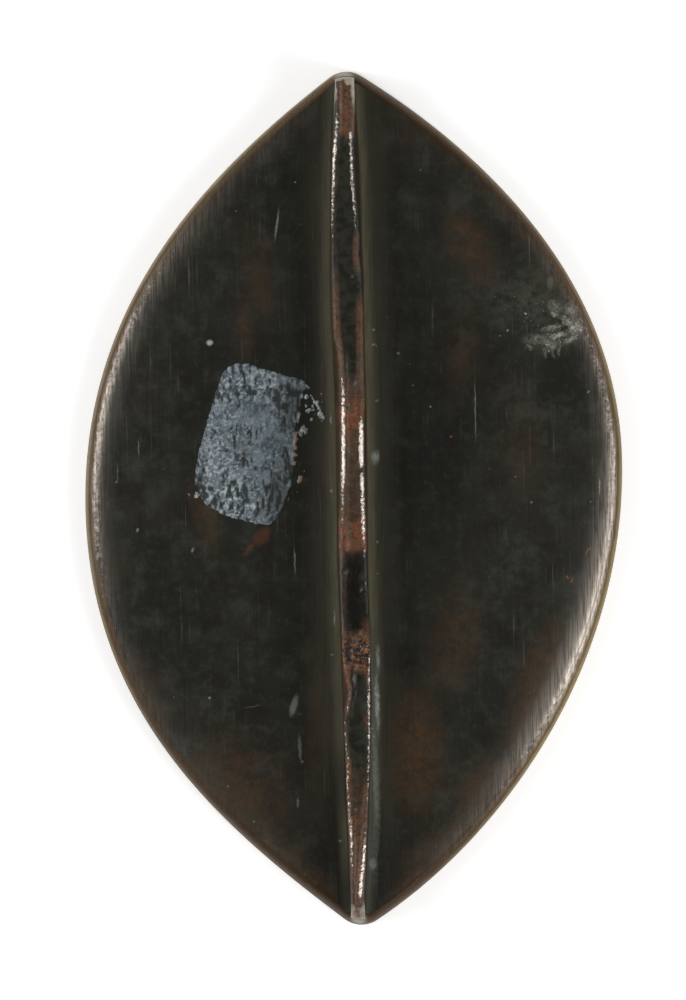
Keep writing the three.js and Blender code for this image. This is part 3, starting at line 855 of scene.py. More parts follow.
# From the head down: how bright each edge of the crest has worn, how red the edges and the crest are,
# and how warm that red is.
EDGE_BRIGHT = {
    "left": [
        (36.3, 0.2), (33.2, 0.3), (32.6, 0.8), (29.5, 0.95), (24.0, 0.78), (22.0, 0.6), (18.0, 0.5),
        (14.0, 0.4), (11.0, 0.4), (9.8, 0.8), (7.0, 1.0), (2.0, 1.0), (0.5, 0.8), (-2.2, 0.65), (-2.8, 0.3),
        (-7.6, 0.2), (-9.2, 0.6), (-9.8, 0.1), (-13.4, 0.6), (-14.4, 0.3), (-16.0, 0.55), (-17.5, 0.65),
        (-22.0, 0.7), (-26.0, 0.75), (-27.3, 0.9), (-30.0, 0.75), (-32.0, 0.6), (-33.0, 0.3), (-36.3, 0.1),
    ],
    "right": [
        (36.3, 0.1), (32.0, 0.2), (31.0, 0.85), (26.0, 0.85), (22.4, 0.65), (21.0, 0.4), (19.0, 0.5),
        (17.5, 0.4), (10.0, 0.35), (7.6, 0.5), (5.6, 1.15), (2.9, 1.2), (2.4, 0.5), (1.8, 1.05), (-3.0, 0.9),
        (-3.8, 0.7), (-6.6, 0.55), (-9.0, 0.5), (-10.0, 0.3), (-12.5, 0.6), (-15.0, 0.8), (-24.0, 0.75),
        (-25.0, 0.6), (-28.0, 0.55), (-29.5, 0.9), (-33.5, 1.0), (-34.2, 0.3), (-36.3, 0.2),
    ],
}
EDGE_RED = {
    "left": [
        (36.3, 0.5), (32.0, 0.3), (28.0, 0.25), (26.5, 0.45), (24.0, 0.3), (18.5, 0.4), (17.0, 0.8),
        (13.0, 0.9), (7.0, 1.0), (5.0, 0.7), (0.0, 0.6), (-2.0, 0.9), (-4.2, 0.8), (-5.6, 0.35),
        (-10.5, 0.4), (-12.3, 0.9), (-14.5, 0.8), (-17.0, 0.6), (-19.0, 0.4), (-21.0, 0.5), (-22.5, 0.85),
        (-26.0, 0.6), (-36.3, 0.6),
    ],
    "right": [
        (36.3, 0.8), (31.0, 0.8), (30.0, 0.1), (23.0, 0.1), (22.0, 0.6), (19.5, 0.6), (18.5, 0.1),
        (17.5, 0.2), (16.0, 0.75), (7.0, 0.65), (4.0, 0.35), (-1.0, 0.5), (-2.5, 0.9), (-4.0, 0.8),
        (-4.8, 0.1), (-9.5, 0.1), (-10.8, 0.5), (-12.2, 0.9), (-14.0, 0.7), (-16.0, 0.3), (-17.8, 0.2),
        (-18.8, 0.6), (-20.0, 0.2), (-23.5, 0.3), (-25.0, 0.6), (-36.3, 0.6),
    ],
}
CREST_RED = [
    (36.3, 0.9), (31.2, 0.95), (30.2, 0.1), (17.0, 0.0), (11.0, 0.05), (9.8, 0.5), (6.8, 0.95), (5.5, 0.6),
    (0.0, 0.5), (-1.8, 0.5), (-2.4, 0.95), (-4.0, 1.0), (-4.8, 0.2), (-11.0, 0.15), (-12.2, 0.9),
    (-14.4, 0.7), (-15.2, 0.1), (-22.0, 0.05), (-23.0, 0.35), (-26.0, 0.4), (-28.0, 0.7), (-36.3, 0.9),
]
CREST_HOT = [
    (36.3, 0.1), (31.0, 0.4), (30.0, 0.0), (8.6, 0.0), (7.4, 1.0), (5.6, 0.8), (4.8, 0.0), (-1.4, 0.0),
    (-2.8, 0.9), (-4.2, 0.7), (-5.2, 0.2), (-10.5, 0.2), (-12.0, 0.7), (-14.6, 0.9), (-16.5, 0.3),
    (-27.0, 0.2), (-36.3, 0.4),
]
# Below here the right fillet is painted greyer: a painted reflection.
BRAZE_LOW = (-9.0, -13.0)  # where the right fillet turns greyer


def braze_fillet(side, material):
    """A hollow fillet, a hair sunk in the rib's wall and in the back, so that no seam opens."""
    out = OUT[side]
    rings = []
    for y in np.linspace(-HALF_LENGTH, HALF_LENGTH, BRAZE_STATIONS):
        foot = along_table(FOOT[side], y)
        leg = BRAZE_LEG + BRAZE_SWELL * rough(y, NOISE_SIDE["braze_leg"] * out, "braze_leg")
        low = PLATE_THICKNESS - BRAZE_SUNK
        section = [(foot - BRAZE_SUNK, low), (foot + leg, low)]
        for angle in np.linspace(0, math.pi / 2, BRAZE_POINTS):
            x, z = foot + leg * (1 - math.sin(angle)), PLATE_THICKNESS + BRAZE_LEG * (1 - math.cos(angle))
            dent = BRAZE_DENT * rough(y, angle, "braze_dent") * math.sin(2 * angle)
            section.append((x - dent, z - dent))
        section.append((foot - BRAZE_SUNK, BRAZE_TOP))
        ring = np.array([(RIB_OFFSET + out * x, y, z) for x, z in section])
        rings.append(ring[::-out])
    body = mesh_object("fillet_" + side, loft(rings))
    filed = loft([inset(BACK_INSET, z) for z in (PLATE_THICKNESS - OVERRUN, BRAZE_TOP + OVERRUN)])
    carved(body, [mesh_object("filed", filed)], "INTERSECT")
    x, y, _ = positions(body).T
    reach = (x - RIB_OFFSET) * out - along_table(FOOT[side], y)
    # Painted light rides on these marks: light and across lift the tone up the slope, near lightens it
    # beside the rib.
    give(
        body, across=1 - reach / BRAZE_LEG, light=along_table(BRAZE_LIGHT[side], y),
        near=along_table(BESIDE_RIB_PAINTED_LIGHT[side], y), low=smoothstep(*BRAZE_LOW, y) * (out > 0),
    )
    finish(body, "braze_fillet_" + side, material, sharp_angle=50)


# Label


# Corners of the residue, as pixels of the photograph, from its upper left round by the right.
RESIDUE_CORNERS = [
    (223, 374), (228, 367), (237, 363), (249, 364), (264, 369), (283, 375), (304, 380), (311, 388),
    (303, 391), (300, 407), (298, 419), (295, 432), (294, 461), (292, 483), (284, 505), (275, 522),
    (266, 526), (244, 521), (227, 516), (208, 507), (201, 497), (195, 484), (195, 469), (201, 443),
    (209, 417), (215, 396),
]
# Where its surface is smooth, grainy, or worn thin, and where its scraps hang together as lace.
SMOOTH_PLACES = [(255, 410, 18, 14, -10, 1.0), (268, 445, 12, 28, -14, 0.8), (262, 480, 12, 22, -14, 0.5)]
GRAINY_PLACES = [(232, 497, 36, 22, -14, 1.0), (214, 470, 16, 30, -14, 0.7), (246, 384, 40, 16, -12, 0.75)]
THIN_PLACES = [
    (290, 410, 12, 36, -8, 0.9), (276, 492, 14, 34, -14, 0.9), (240, 446, 16, 8, 0, 0.4),
    (300, 398, 12, 14, 0, 0.7), (284, 452, 9, 30, -10, 0.6),
]
LACE_PLACES = [(305, 398, 9, 20, 15, 1.0), (316, 404, 7, 16, -25, 1.0), (302, 428, 6, 12, 15, 1.0)]
# Scraps of its fibre, as pixels: column, row, half width, half length, turn in degrees and rustiness.
FIBRES = [
    (302, 395, 2, 9, -4, 0), (307, 396, 3, 2.2, 0, 0), (315, 402, 1.6, 7, 27, 0),
    (318.5, 409, 1.6, 8, 30, 0), (309, 411, 4, 1.8, 20, 0), (322, 417, 3, 6, 25, 0),
    (327, 421, 1.8, 4.5, 8, 0), (321, 428, 2, 1.6, 0, 0), (303, 431, 3.6, 5, -15, 0),
    (312, 419, 2.4, 1.4, 30, 0), (295, 444, 2, 17, -2, 1), (300, 481, 1.7, 7, -20, 1),
    (197, 495, 2.6, 3, 0, 0), (190, 496, 1.3, 1.3, 0, 1), (299, 414, 1.8, 9, -12, 0),
    (306, 386, 7, 1.4, -30, 0),
]
LACE_SLANT = 0.4
# How strong its pits, its granules, the flecks of its scraps and the rise of its film are.
PIT = {"span": (0.1, 0.8), "wave": 0.5, "smooth": 0.8, "thin": 0.3, "grainy": 0.15, "loose": 0.3}
GRAIN = {"span": (0.1, 0.6), "even": 0.15, "grainy": 0.85, "pit": 0.8}
FLECK = {"span": (-0.3, 0.6), "even": 0.15, "grain": 0.6, "thin": 0.7}
RISE = {"even": 0.7, "pit": 0.55, "grain": 0.28}


def inside_by(x, y, corners):
    """How far inside a closed line of corners each point is, in mm. Below zero it is outside."""
    away = np.full(x.shape, np.inf)
    within = np.zeros(x.shape, bool)
    for (ax, ay), (bx, by) in zip(corners, corners[1:] + corners[:1]):
        dx, dy = bx - ax, by - ay
        along = np.clip(((x - ax) * dx + (y - ay) * dy) / (dx * dx + dy * dy), 0, 1)
        away = np.minimum(away, np.hypot(x - ax - along * dx, y - ay - along * dy))
        within ^= ((ay > y) != (by > y)) & (x < ax + (y - ay) * dx / dy)
    return np.where(within, away, -away)


def fibres(x, y):
    """How far inside a scrap each point is, in mm, and how rusty that scrap is."""
    cover, rust = np.full(x.shape, -1.0), np.zeros(x.shape)
    for *oval, rusty in FIBRES:
        half_width = oval[2]
        inside = (1 - oval_share(x, y, *oval)) * half_width / PIXELS_PER_MM
        rust = np.where(inside > cover, rusty, rust)
        cover = np.maximum(cover, inside)
    return cover, rust


def label_cover(x, y, corners, grainy):
    """How far inside the residue each point is and how far inside a scrap of it, in mm, and its rust."""
    fray = LABEL_FRAY["even"] + LABEL_FRAY["grainy"] * grainy
    residue = inside_by(x, y, corners) + fray * rough(x, y, "label_edge") - LABEL_FRAY["back"]
    scraps, rust = fibres(x, y)
    scraps = scraps + SCRAP_FRAY["swing"] * rough(x, y, "scraps") - SCRAP_FRAY["back"]
    lace = LACE_FRAY["swing"] * rough(x + LACE_SLANT * y, y, "lace")
    lace = lace - LACE_FRAY["beyond"] * (1 - ovals(x, y, LACE_PLACES)) - LACE_FRAY["back"]
    return residue, np.maximum(scraps, lace), rust * (scraps > lace)


def label_residue(material):
    """A thin film with a ragged edge, pits and granules, and scraps of fibre beside it."""
    corners = [from_photo(*corner) for corner in RESIDUE_CORNERS]
    low, high = np.min(corners, axis=0) - LABEL_MARGIN["low"], np.max(corners, axis=0) + LABEL_MARGIN["high"]
    x, y = np.meshgrid(*(np.arange(low[k], high[k], LABEL_GRID) for k in (0, 1)), indexing="ij")
    turn = math.radians(LABEL_TURN)
    u, v = x * math.cos(turn) + y * math.sin(turn), y * math.cos(turn) - x * math.sin(turn)
    smooth, grainy, thin = (ovals(x, y, table) for table in (SMOOTH_PLACES, GRAINY_PLACES, THIN_PLACES))
    residue, scraps, rust = label_cover(x, y, corners, grainy)
    cover = np.maximum(residue, scraps)
    loose = scraps > residue
    holes = rough(x, y, "label_holes") + PIT["wave"] * rough(x, y, "label_wave")
    holes = holes - PIT["smooth"] * smooth + PIT["thin"] * thin + PIT["grainy"] * grainy
    pit = smoothstep(*PIT["span"], holes)
    grain = smoothstep(*GRAIN["span"], rough(u, v, "label_grain"))
    grain = grain * (GRAIN["even"] + GRAIN["grainy"] * grainy) * (1 - GRAIN["pit"] * pit) * (1 - thin)
    flecks = smoothstep(*FLECK["span"], rough(x, y, "flecks"))
    pit = pit * np.where(loose, PIT["loose"], 1)
    grain = np.where(loose, FLECK["even"] + FLECK["grain"] * flecks, grain)
    thin = np.where(loose, FLECK["thin"] * (1 - flecks), thin)
    rise = RISE["even"] - RISE["pit"] * pit + RISE["grain"] * grain
    film = LABEL_FILM * smoothstep(0.0, LABEL_EDGE_RUN, cover) * rise
    surface = PLATE_THICKNESS + back_relief(x, y)
    top = np.where(cover > 0, surface + film, surface - LABEL_UNDER["open"])
    under = surface - LABEL_UNDER["floor"]
    layers = [np.column_stack([x.ravel(), y.ravel(), z.ravel()]) for z in (top, under)]
    body = mesh_object("label", (np.vstack(layers), film_faces(cover)))
    marks = {"pit": pit, "grain": grain, "thin": thin, "smooth": smooth, "rust": rust * loose}
    give(body, **{name: np.tile(values.ravel(), 2) for name, values in marks.items()})
    drop_loose_points(body.data)
    finish(body, "label_residue", material, sharp_angle=60)


def film_faces(cover):
    """Upper, lower and side faces of a film over the cells of a grid that it covers."""
    rows, columns = cover.shape
    faces = []
    for i in range(rows - 1):
        for j in range(columns - 1):
            if cover[i:i + 2, j:j + 2].max() <= 0:
                continue
            a = i * columns + j
            upper = (a, a + columns, a + columns + 1, a + 1)
            faces += [upper, tuple(k + cover.size for k in reversed(upper))]
    upper_faces = [face for face in faces if face[0] < cover.size]
    edges = {(face[k], face[(k + 1) % 4]) for face in upper_faces for k in range(4)}
    walls = [(b, a, a + cover.size, b + cover.size) for a, b in edges if (b, a) not in edges]
    return faces + walls


def drop_loose_points(mesh):
    work = bmesh.new()
    work.from_mesh(mesh)
    bmesh.ops.delete(work, geom=[v for v in work.verts if not v.link_faces], context="VERTS")
    work.to_mesh(mesh)
    work.free()


# Materials

# Where a look of the plate comes in and where it is full, in from the rim or up from the face.
BAND = {
    "side": (1.0, 0.5), "sheen_rim": (0.36, 0.56), "sheen": (2.9, 0.8), "worn_sheen": (1.7, 1.0),
    "arris_rim": (0.58, 0.72), "arris": (1.4, 0.75), "inside_rim": (0.6, 0.8), "upper_side": (1.6, 2.6),
    "foot": (0.35, 0.1), "face": (0.02, -0.02), "recess": (0.01, 0.12), "recess_top": (1.6, 1.4),
}
# How deep each relief is, in mm.
RELIEF = {
    "scratches": 0.004, "waves": 0.03, "side": 0.09, "grain": 0.01, "lumps": 0.08, "beads": 0.07,
    "tooth": 0.01, "brazing": 0.02, "paper": 0.03,
}
JITTER = {"Scale": 3.0, "Detail": 4.0}  # the noise that makes the edges of small marks ragged


def colour(red, green, blue):
    """A colour as it shows on screen, from 0 to 255, as the shader's own linear values."""
    linear = []
    for value in (red, green, blue):
        share = value / 255
        linear.append(share / 12.92 if share <= 0.04045 else ((share + 0.055) / 1.055) ** 2.4)
    return (*linear, 1.0)


class Paint:
    """One material, built node by node. Lengths in its patterns are in millimetres.

    A colour of three numbers is as it shows on screen, and one of four is linear.
    """

    def __init__(self, name):
        self.material = bpy.data.materials.new(name)
        self.material.use_nodes = True
        self.tree = self.material.node_tree
        self.shader = self.tree.nodes["Principled BSDF"]
        place = self.node("ShaderNodeTexCoord", {}).outputs["Object"]
        self.place = self.vector("MULTIPLY", place, (1 / MM,) * 3)
        self.height = self.node("ShaderNodeSeparateXYZ", {0: self.place}).outputs[2]
        self.base = (0, 0, 0)

    def feed(self, socket, value):
        if isinstance(value, bpy.types.NodeSocket):
            self.tree.links.new(value, socket)
        elif socket.type == "RGBA" and len(value) == 3:
            socket.default_value = colour(*value)
        else:
            socket.default_value = value

    def node(self, kind, inputs, **settings):
        made = self.tree.nodes.new(kind)
        for name, value in settings.items():
            setattr(made, name, value)
        for name, value in inputs.items():
            self.feed(made.inputs[name], value)
        return made

    def sets(self, **inputs):
        """Feeds the shader's sockets, and gives the material."""
        for name, value in inputs.items():
            self.feed(self.shader.inputs[name.replace("_", " ")], value)
        return self.material

    def vector(self, operation, *values):
        return self.node("ShaderNodeVectorMath", dict(enumerate(values)), operation=operation).outputs[0]

    def noise(self, scale, detail=3.0, roughness=0.55, stretch=None, distortion=0.0):
        """Noise, with its scale along X and Y multiplied where a stretch is given."""
        place = self.vector("MULTIPLY", self.place, (*stretch, 1.0)) if stretch else self.place
        inputs = {
            "Vector": place, "Scale": scale, "Detail": detail,
            "Roughness": roughness, "Distortion": distortion,
        }
        return self.node("ShaderNodeTexNoise", inputs).outputs[0]

    def spots(self, scale):
        """Distance to the nearest of a scatter of points."""
        return self.node("ShaderNodeTexVoronoi", {"Vector": self.place, "Scale": scale}).outputs["Distance"]

    def attribute(self, name):
        return self.node("ShaderNodeAttribute", {}, attribute_name=name).outputs["Fac"]

    def maths(self, operation, value, *others):
        for other in others:
            value = self.node("ShaderNodeMath", {0: value, 1: other}, operation=operation).outputs[0]
        return value

    def times(self, *values):
        return self.maths("MULTIPLY", *values)

    def plus(self, *values):
        return self.maths("ADD", *values)

    def most(self, *values):
        return self.maths("MAXIMUM", *values)

    def remap(self, value, low, high, to_low=0.0, to_high=1.0):
        inputs = {0: value, 1: low, 2: high, 3: to_low, 4: to_high}
        return self.node("ShaderNodeMapRange", inputs, interpolation_type="SMOOTHSTEP").outputs[0]

    def patches(self, scale, detail, roughness, *span):
        """Patches of noise, which come in over a span of its values, as remap takes it."""
        return self.remap(self.noise(scale, detail, roughness), *span)

    def mix(self, share, a, b):
        return self.node("ShaderNodeMix", {0: share, 6: a, 7: b}, data_type="RGBA").outputs[2]

    def lay(self, paint, *shares):
        """Lays a colour over what is there, by the product of its shares."""
        self.base = self.mix(self.times(*shares), self.base, paint)

    def marks(self, table, ragged, outer=1.2, inner=0.4):
        """The strongest of a table of small marks, in the form that ovals takes, with ragged edges."""
        jitter = self.node("ShaderNodeTexNoise", {"Vector": self.place, **JITTER})
        shift = self.vector("SUBTRACT", jitter.outputs[1], (0.5,) * 3)
        moved = self.vector("MULTIPLY_ADD", shift, (2 * ragged,) * 3, self.place)
        strongest = 0.0
        for column, row, half_width, half_length, turn, strength in table:
            inputs = {
                "Vector": moved, "Location": (*from_photo(column, row), PLATE_THICKNESS),
                "Rotation": (0, 0, math.radians(turn)),
                "Scale": (half_width / PIXELS_PER_MM, half_length / PIXELS_PER_MM, MARK_DEPTH),
            }
            oval = self.node("ShaderNodeMapping", inputs, vector_type="TEXTURE").outputs[0]
            away = self.node("ShaderNodeVectorMath", {0: oval}, operation="LENGTH").outputs["Value"]
            strongest = self.most(self.remap(away, outer, inner, 0.0, strength), strongest)
        return strongest

    def bump(self, name, height, under=None):
        """A named relief, for a height from 0 to 1."""
        inputs = {"Height": height, "Distance": RELIEF[name] * MM, "Strength": 1.0}
        if under:
            inputs["Normal"] = under
        return self.node("ShaderNodeBump", inputs).outputs[0]


# Small marks on the back, as ovals takes them: pale spots and scratches, brown nicks, a painted grazing
# reflection on the metal of both tips, and the smears of the deposit.
PALE_MARKS = [
    (210, 343, 3.6, 3.4, 0, 1.0), (294, 705, 3.8, 12, -17, 0.32), (300, 748, 2.2, 15, 2, 0.2),
    (298, 802, 1.5, 6, 0, 0.2), (253, 706, 10, 0.8, 8, 0.14), (277, 225, 1.3, 18, -8, 0.4),
    (138, 530, 1.4, 2.6, -30, 0.4), (193, 550, 1.3, 3, -20, 0.4), (139, 448, 0.9, 9, 0, 0.25),
    (118, 473, 0.9, 10, 0, 0.15), (117, 482, 1.2, 1.2, 0, 0.35), (295, 561, 0.9, 14, 0, 0.35),
    (430, 407, 1.2, 1.2, 0, 0.6), (515, 477, 1.2, 1, 0, 0.25), (531, 502, 1.4, 1.2, 0, 0.3),
    (590, 502, 1.2, 1, 0, 0.25), (588, 392, 1.6, 1.2, 30, 0.4), (599, 487, 0.9, 10, -2, 0.6),
    (475, 410, 0.8, 32, 0, 0.3), (525, 314, 1.4, 1.4, 0, 0.9), (507, 331, 1.3, 1.2, 0, 0.5),
    (500, 336, 1.2, 1, 0, 0.4), (550, 283, 4, 8, 0, 0.15),
]
BROWN_MARKS = [
    (262, 536, 8, 13, -42, 0.22), (250, 548, 3, 12, -42, 0.2), (588, 549, 0.8, 4, -45, 0.8),
    (586, 552, 0.8, 3, -20, 0.6), (567, 577, 2.2, 1, -50, 1.0), (571, 580, 1, 2.6, -30, 0.9),
    (451, 437, 1.3, 1.3, 0, 0.7), (289, 499, 1.4, 1.8, 0, 0.7),
]
TIP_MARKS = [(343.5, 76, 12, 8, 0, 1.0), (358.5, 919, 9, 9, 0, 1.0)]
DEPOSIT_MARKS = [
    (555, 307, 6, 5, 0, 0.4), (571, 311, 6, 6, 20, 0.45), (554, 315, 3, 2, -30, 0.8),
    (566, 321, 7, 3, -35, 0.75), (575, 329, 5, 6, -20, 1.0), (579, 331, 3, 1.6, 20, 1.0),
    (551, 328, 8, 2, 10, 0.55), (557, 336, 8, 2, 15, 0.9), (547, 344, 2, 3, 0, 0.7),
    (545, 353, 1.2, 4, 0, 0.4), (529, 348, 3, 1.6, -20, 0.5), (559, 350, 1.2, 6, -5, 0.35),
    (571, 339, 7, 3, 30, 0.55), (552, 346, 6, 4, 0, 0.45), (538, 340, 12, 4, 0, 0.3),
    (552, 353, 1, 4, 10, 0.3),
]


def patina(p):
    """Olive-black, softly clouded, with painted light beside the rib, and fine scratches along the rib here
    and there.
    """
    p.base = p.mix(p.patches(0.16, 4, 0.6, 0.36, 0.64), (23, 23, 17), (35, 34, 27))
    p.lay((54, 55, 48), p.patches(0.5, 6, 0.7, 0.45, 0.7), 0.65)
    p.lay((22, 19, 13), p.patches(0.4, 4, 0.65, 0.5, 0.66), 0.6)
    # Painted light beside the rib, against the rib's shadow.
    p.lay((62, 60, 48), p.attribute("near"), 0.8)
    p.lay((17, 17, 12), p.attribute("dark"), 0.75)
    p.lay((58, 57, 48), p.patches(1.4, 5, 0.7, 0.5, 0.75), 0.4)
    scratch = p.noise(1.0, 5, 0.6, stretch=(6.0, 0.12))
    here = p.plus(p.patches(0.35, 3, 0.55, 0.45, 0.62), 0.2)
    p.lay((88, 88, 76), p.remap(scratch, 0.6, 0.74), here, 0.5)
    p.lay((12, 11, 7), p.remap(scratch, 0.44, 0.34), 0.3)


def browned(p):
    """Brown over the patches and beside the rims, where the patina is thin, with redder spots."""
    share = p.times(p.attribute("brown"), p.patches(0.8, 7, 0.8, 0.36, 0.62, 0.25, 1.0))
    p.lay((67, 52, 32), share)
    p.lay((94, 48, 26), share, p.patches(2.2, 5, 0.75, 0.5, 0.64), 0.7)
    p.lay((126, 72, 44), p.marks(BROWN_MARKS, ragged=0.2))


def encrusted(p):
    """The pale deposit near the right rim: a dull cloud, smears and white specks."""
    bloom = p.attribute("cloud")
    p.lay((86, 87, 76), bloom, p.patches(1.1, 6, 0.75, 0.36, 0.64), 0.52)
    lace = p.remap(p.noise(3.4, 6, 0.8, distortion=0.8), 0.4, 0.6, 0.06, 1.01)
    p.lay((176, 176, 164), p.marks(DEPOSIT_MARKS, ragged=0.35, outer=1.9, inner=0.1), lace)
    speck = p.remap(p.plus(p.noise(6.5, 3, 0.6), p.times(bloom, 0.1)), 0.72, 0.8)
    p.lay((200, 204, 190), speck, p.plus(p.times(bloom, 0.8), 0.2))
    p.lay((172, 174, 164), p.marks(PALE_MARKS, ragged=0.12), 0.8)
    p.lay((138, 138, 122), p.remap(p.spots(0.45), 0.06, 0.04), p.patches(0.8, 2, 0.55, 0.45, 0.6), 0.6)


def side_paint(p, side):
    """The side: pale olive below and gold above along most of the rims, dark at the tail partly as painted
    shade, and tips painted pale as a grazing reflection.
    """
    gold, amber = p.attribute("gold"), p.attribute("amber")
    # Where gold is low, towards the tail, the side is darker: its own brown and partly painted shade.
    low = p.mix(gold, (84, 69, 40), p.mix(amber, (150, 135, 104), (157, 139, 92)))
    high = p.mix(gold, (56, 36, 12), p.mix(amber, (86, 65, 36), (92, 66, 31)))
    paint = p.mix(p.remap(p.height, *BAND["upper_side"]), low, high)
    paint = p.mix(p.times(p.patches(1.2, 5, 0.7, 0.5, 0.7), 0.4), paint, (60, 42, 26))
    paint = p.mix(p.times(p.patches(3.2, 5, 0.75, 0.44, 0.32), 0.6), paint, (48, 38, 24))
    p.lay(paint, side, 0.92)
    # Painted reflection: both tips painted pale, as a grazing reflection.
    p.lay((160, 155, 142), p.marks(TIP_MARKS, ragged=0.1), 0.85)


def engraved_paint(p, rim):
    """The face below: thin patina on its field, and dark dirt in its engraving."""
    depth = p.times(p.remap(p.height, *BAND["recess"]), p.remap(p.height, *BAND["recess_top"]))
    p.lay((24, 26, 22), depth, p.remap(rim, *BAND["inside_rim"]), 0.7)
    p.lay((84, 66, 44), p.remap(p.height, *BAND["face"]), 0.35)


def worn_rim(p, rim):
    """The painted sheen beside a worn rim, partly worn patina and partly a painted reflection, and the bare
    metal along it and here and there along the foot.
    """
    worn = p.attribute("worn")
    lines = p.remap(p.noise(1.0, 3, 0.6, stretch=(7.0, 0.28)), 0.42, 0.56, 0.35, 1.0)
    reach = p.times(p.attribute("sheen"), p.remap(rim, *BAND["sheen"]))
    reach = p.plus(reach, p.times(worn, 0.3, p.remap(rim, *BAND["worn_sheen"])))
    # Painted sheen: pale inward from the rim, partly worn patina and partly a painted reflection.
    p.lay((154, 145, 133), reach, lines, p.remap(rim, *BAND["sheen_rim"]), 0.9)
    jagged = p.plus(rim, p.times(p.noise(2.2, 4, 0.7), 0.5), -0.25)
    arris = p.times(p.remap(jagged, *BAND["arris_rim"]), p.remap(jagged, *BAND["arris"]))
    bare = p.remap(p.plus(p.noise(2.6, 6, 0.8), p.times(worn, 0.36)), 0.66, 0.9)
    foot = p.times(p.remap(p.height, *BAND["foot"]), p.patches(0.7, 6, 0.75, 0.25, 0.8), 0.3)
    metal = p.most(p.times(arris, bare, p.plus(0.35, p.times(lines, 0.65))), foot)
    p.lay((202, 188, 177), metal)
    return metal


def plate_material():
    p = Paint("dark_bronze")
    rim = p.attribute("rim")
    side = p.remap(rim, *BAND["side"])
    patina(p)
    browned(p)
    encrusted(p)
    side_paint(p, side)
    engraved_paint(p, rim)
    metal = worn_rim(p, rim)
    grain = p.noise(7.0, 4, 0.7)
    relief = p.bump("scratches", p.remap(p.noise(1.0, 3, 0.6, stretch=(11.0, 0.3)), 0.35, 0.65))
    relief = p.bump("waves", p.noise(0.7, 5, 0.6), relief)
    relief = p.bump("side", p.times(p.noise(2.4, 5, 0.7), side), relief)
    relief = p.bump("grain", grain, relief)
    roughness = p.plus(0.36, p.times(grain, 0.12), p.times(side, 0.2))
    metallic = p.most(p.times(metal, 0.8), p.times(side, 0.75))
    return p.sets(
        Base_Color=p.base, Metallic=metallic, Roughness=roughness, Normal=relief, Specular_IOR_Level=0.22,
    )


def rib_material():
    """Black to red-brown, worn to bright beads along both edges of the crest, with painted shade on its
    walls and its ends painted pale as a grazing reflection.
    """
    p = Paint("red_bronze")
    red, flaw, wall, bright = (p.attribute(name) for name in ("red", "flaw", "shade", "bright"))
    fine = p.noise(5.0, 4, 0.7)
    beads = p.noise(4.0, 5, 0.75)
    crumbs = p.noise(2.0, 5, 0.7)
    lumps = p.noise(2.0, 5, 0.7, stretch=(1.0, 0.6))
    red_share = p.remap(p.plus(p.times(red, 0.9), p.times(lumps, 0.7)), 0.5, 1.15)
    p.base = p.mix(p.patches(1.2, 4, 0.55, 0.38, 0.62), (27, 27, 21), (43, 42, 35))
    p.lay((12, 11, 7), p.attribute("coal"), 0.85)
    warm = p.mix(p.patches(0.8, 4, 0.6, 0.35, 0.6), (71, 61, 49), (88, 60, 42))
    hot = p.times(p.attribute("hot"), p.patches(1.5, 5, 0.7, 0.42, 0.58))
    p.lay(p.mix(hot, warm, (112, 61, 33)), red_share)
    p.lay((30, 19, 13), red_share, p.patches(2.3, 5, 0.75, 0.48, 0.38), 0.65)
    p.lay((120, 90, 66), red_share, p.remap(fine, 0.5, 0.66), 0.55)
    p.lay((16, 11, 7), flaw, p.remap(crumbs, 0.54, 0.46))
    p.lay((146, 102, 58), flaw, p.remap(crumbs, 0.56, 0.68))
    # Painted shade on the rib's walls, darkest on the right wall.
    p.lay((16, 12, 9), wall, 0.9)
    sparks = p.times(flaw, p.remap(fine, 0.65, 0.71))
    metal = p.most(p.remap(p.plus(p.times(bright, 0.54), beads), 0.85, 1.05), sparks)
    p.lay((236, 224, 210), metal)
    ragged = p.times(p.noise(3.0, 5, 0.75, stretch=(1.2, 0.7)), 0.9)
    # Painted reflection: the rib's ends painted pale, as a grazing reflection where they round down.
    p.lay((160, 152, 138), p.remap(p.plus(p.attribute("pale"), ragged), 0.72, 1.15), 0.9)
    relief = p.bump("lumps", p.times(lumps, p.plus(0.25, p.times(red, 0.75))))
    relief = p.bump("beads", p.times(beads, p.plus(0.15, bright)), relief)
    relief = p.bump("tooth", p.noise(8.0, 3, 0.6), relief)
    roughness = p.plus(0.12, p.times(fine, 0.14), p.times(wall, 0.4), p.times(flaw, 0.3))
    metallic = p.times(metal, 0.95)
    return p.sets(
        Base_Color=p.base, Metallic=metallic, Roughness=roughness, Normal=relief, Specular_IOR_Level=0.25,
    )


# Pale streaks and specks on the brazing, as ovals takes them. The long streaks down the lower right fillet
# and the glinting specks on them are painted highlights.
BRAZE_MARKS = [
    (376, 457, 4.4, 6.5, -12, 0.7), (378, 659, 2.2, 14, 0, 0.6), (377, 702, 2.4, 28, 1, 0.9),
    (373, 863, 4, 6, 0, 0.55), (376, 785, 3.4, 56, 1, 0.35), (377, 850, 5, 44, 0, 0.15),
    (373.6, 330, 1.3, 1.3, 0, 0.9), (373, 345, 1.6, 1, 20, 1.0), (376.5, 346, 1, 1, 0, 0.8),
    (331, 420, 1, 5, 0, 0.7), (376.6, 401, 1.2, 1.2, 0, 0.7), (331, 491, 1.4, 1.4, 0, 0.5),
    (377, 542, 1.3, 1.3, 0, 0.7), (377, 574, 1, 1, 0, 0.6), (334.5, 618, 1, 7, 0, 0.6),
    (332, 654, 1.2, 1.2, 0, 0.7), (372, 728, 1, 1, 0, 0.8), (374, 736, 1.2, 1, 0, 0.8),
    (340, 840, 1.6, 1.4, 0, 0.5),
]


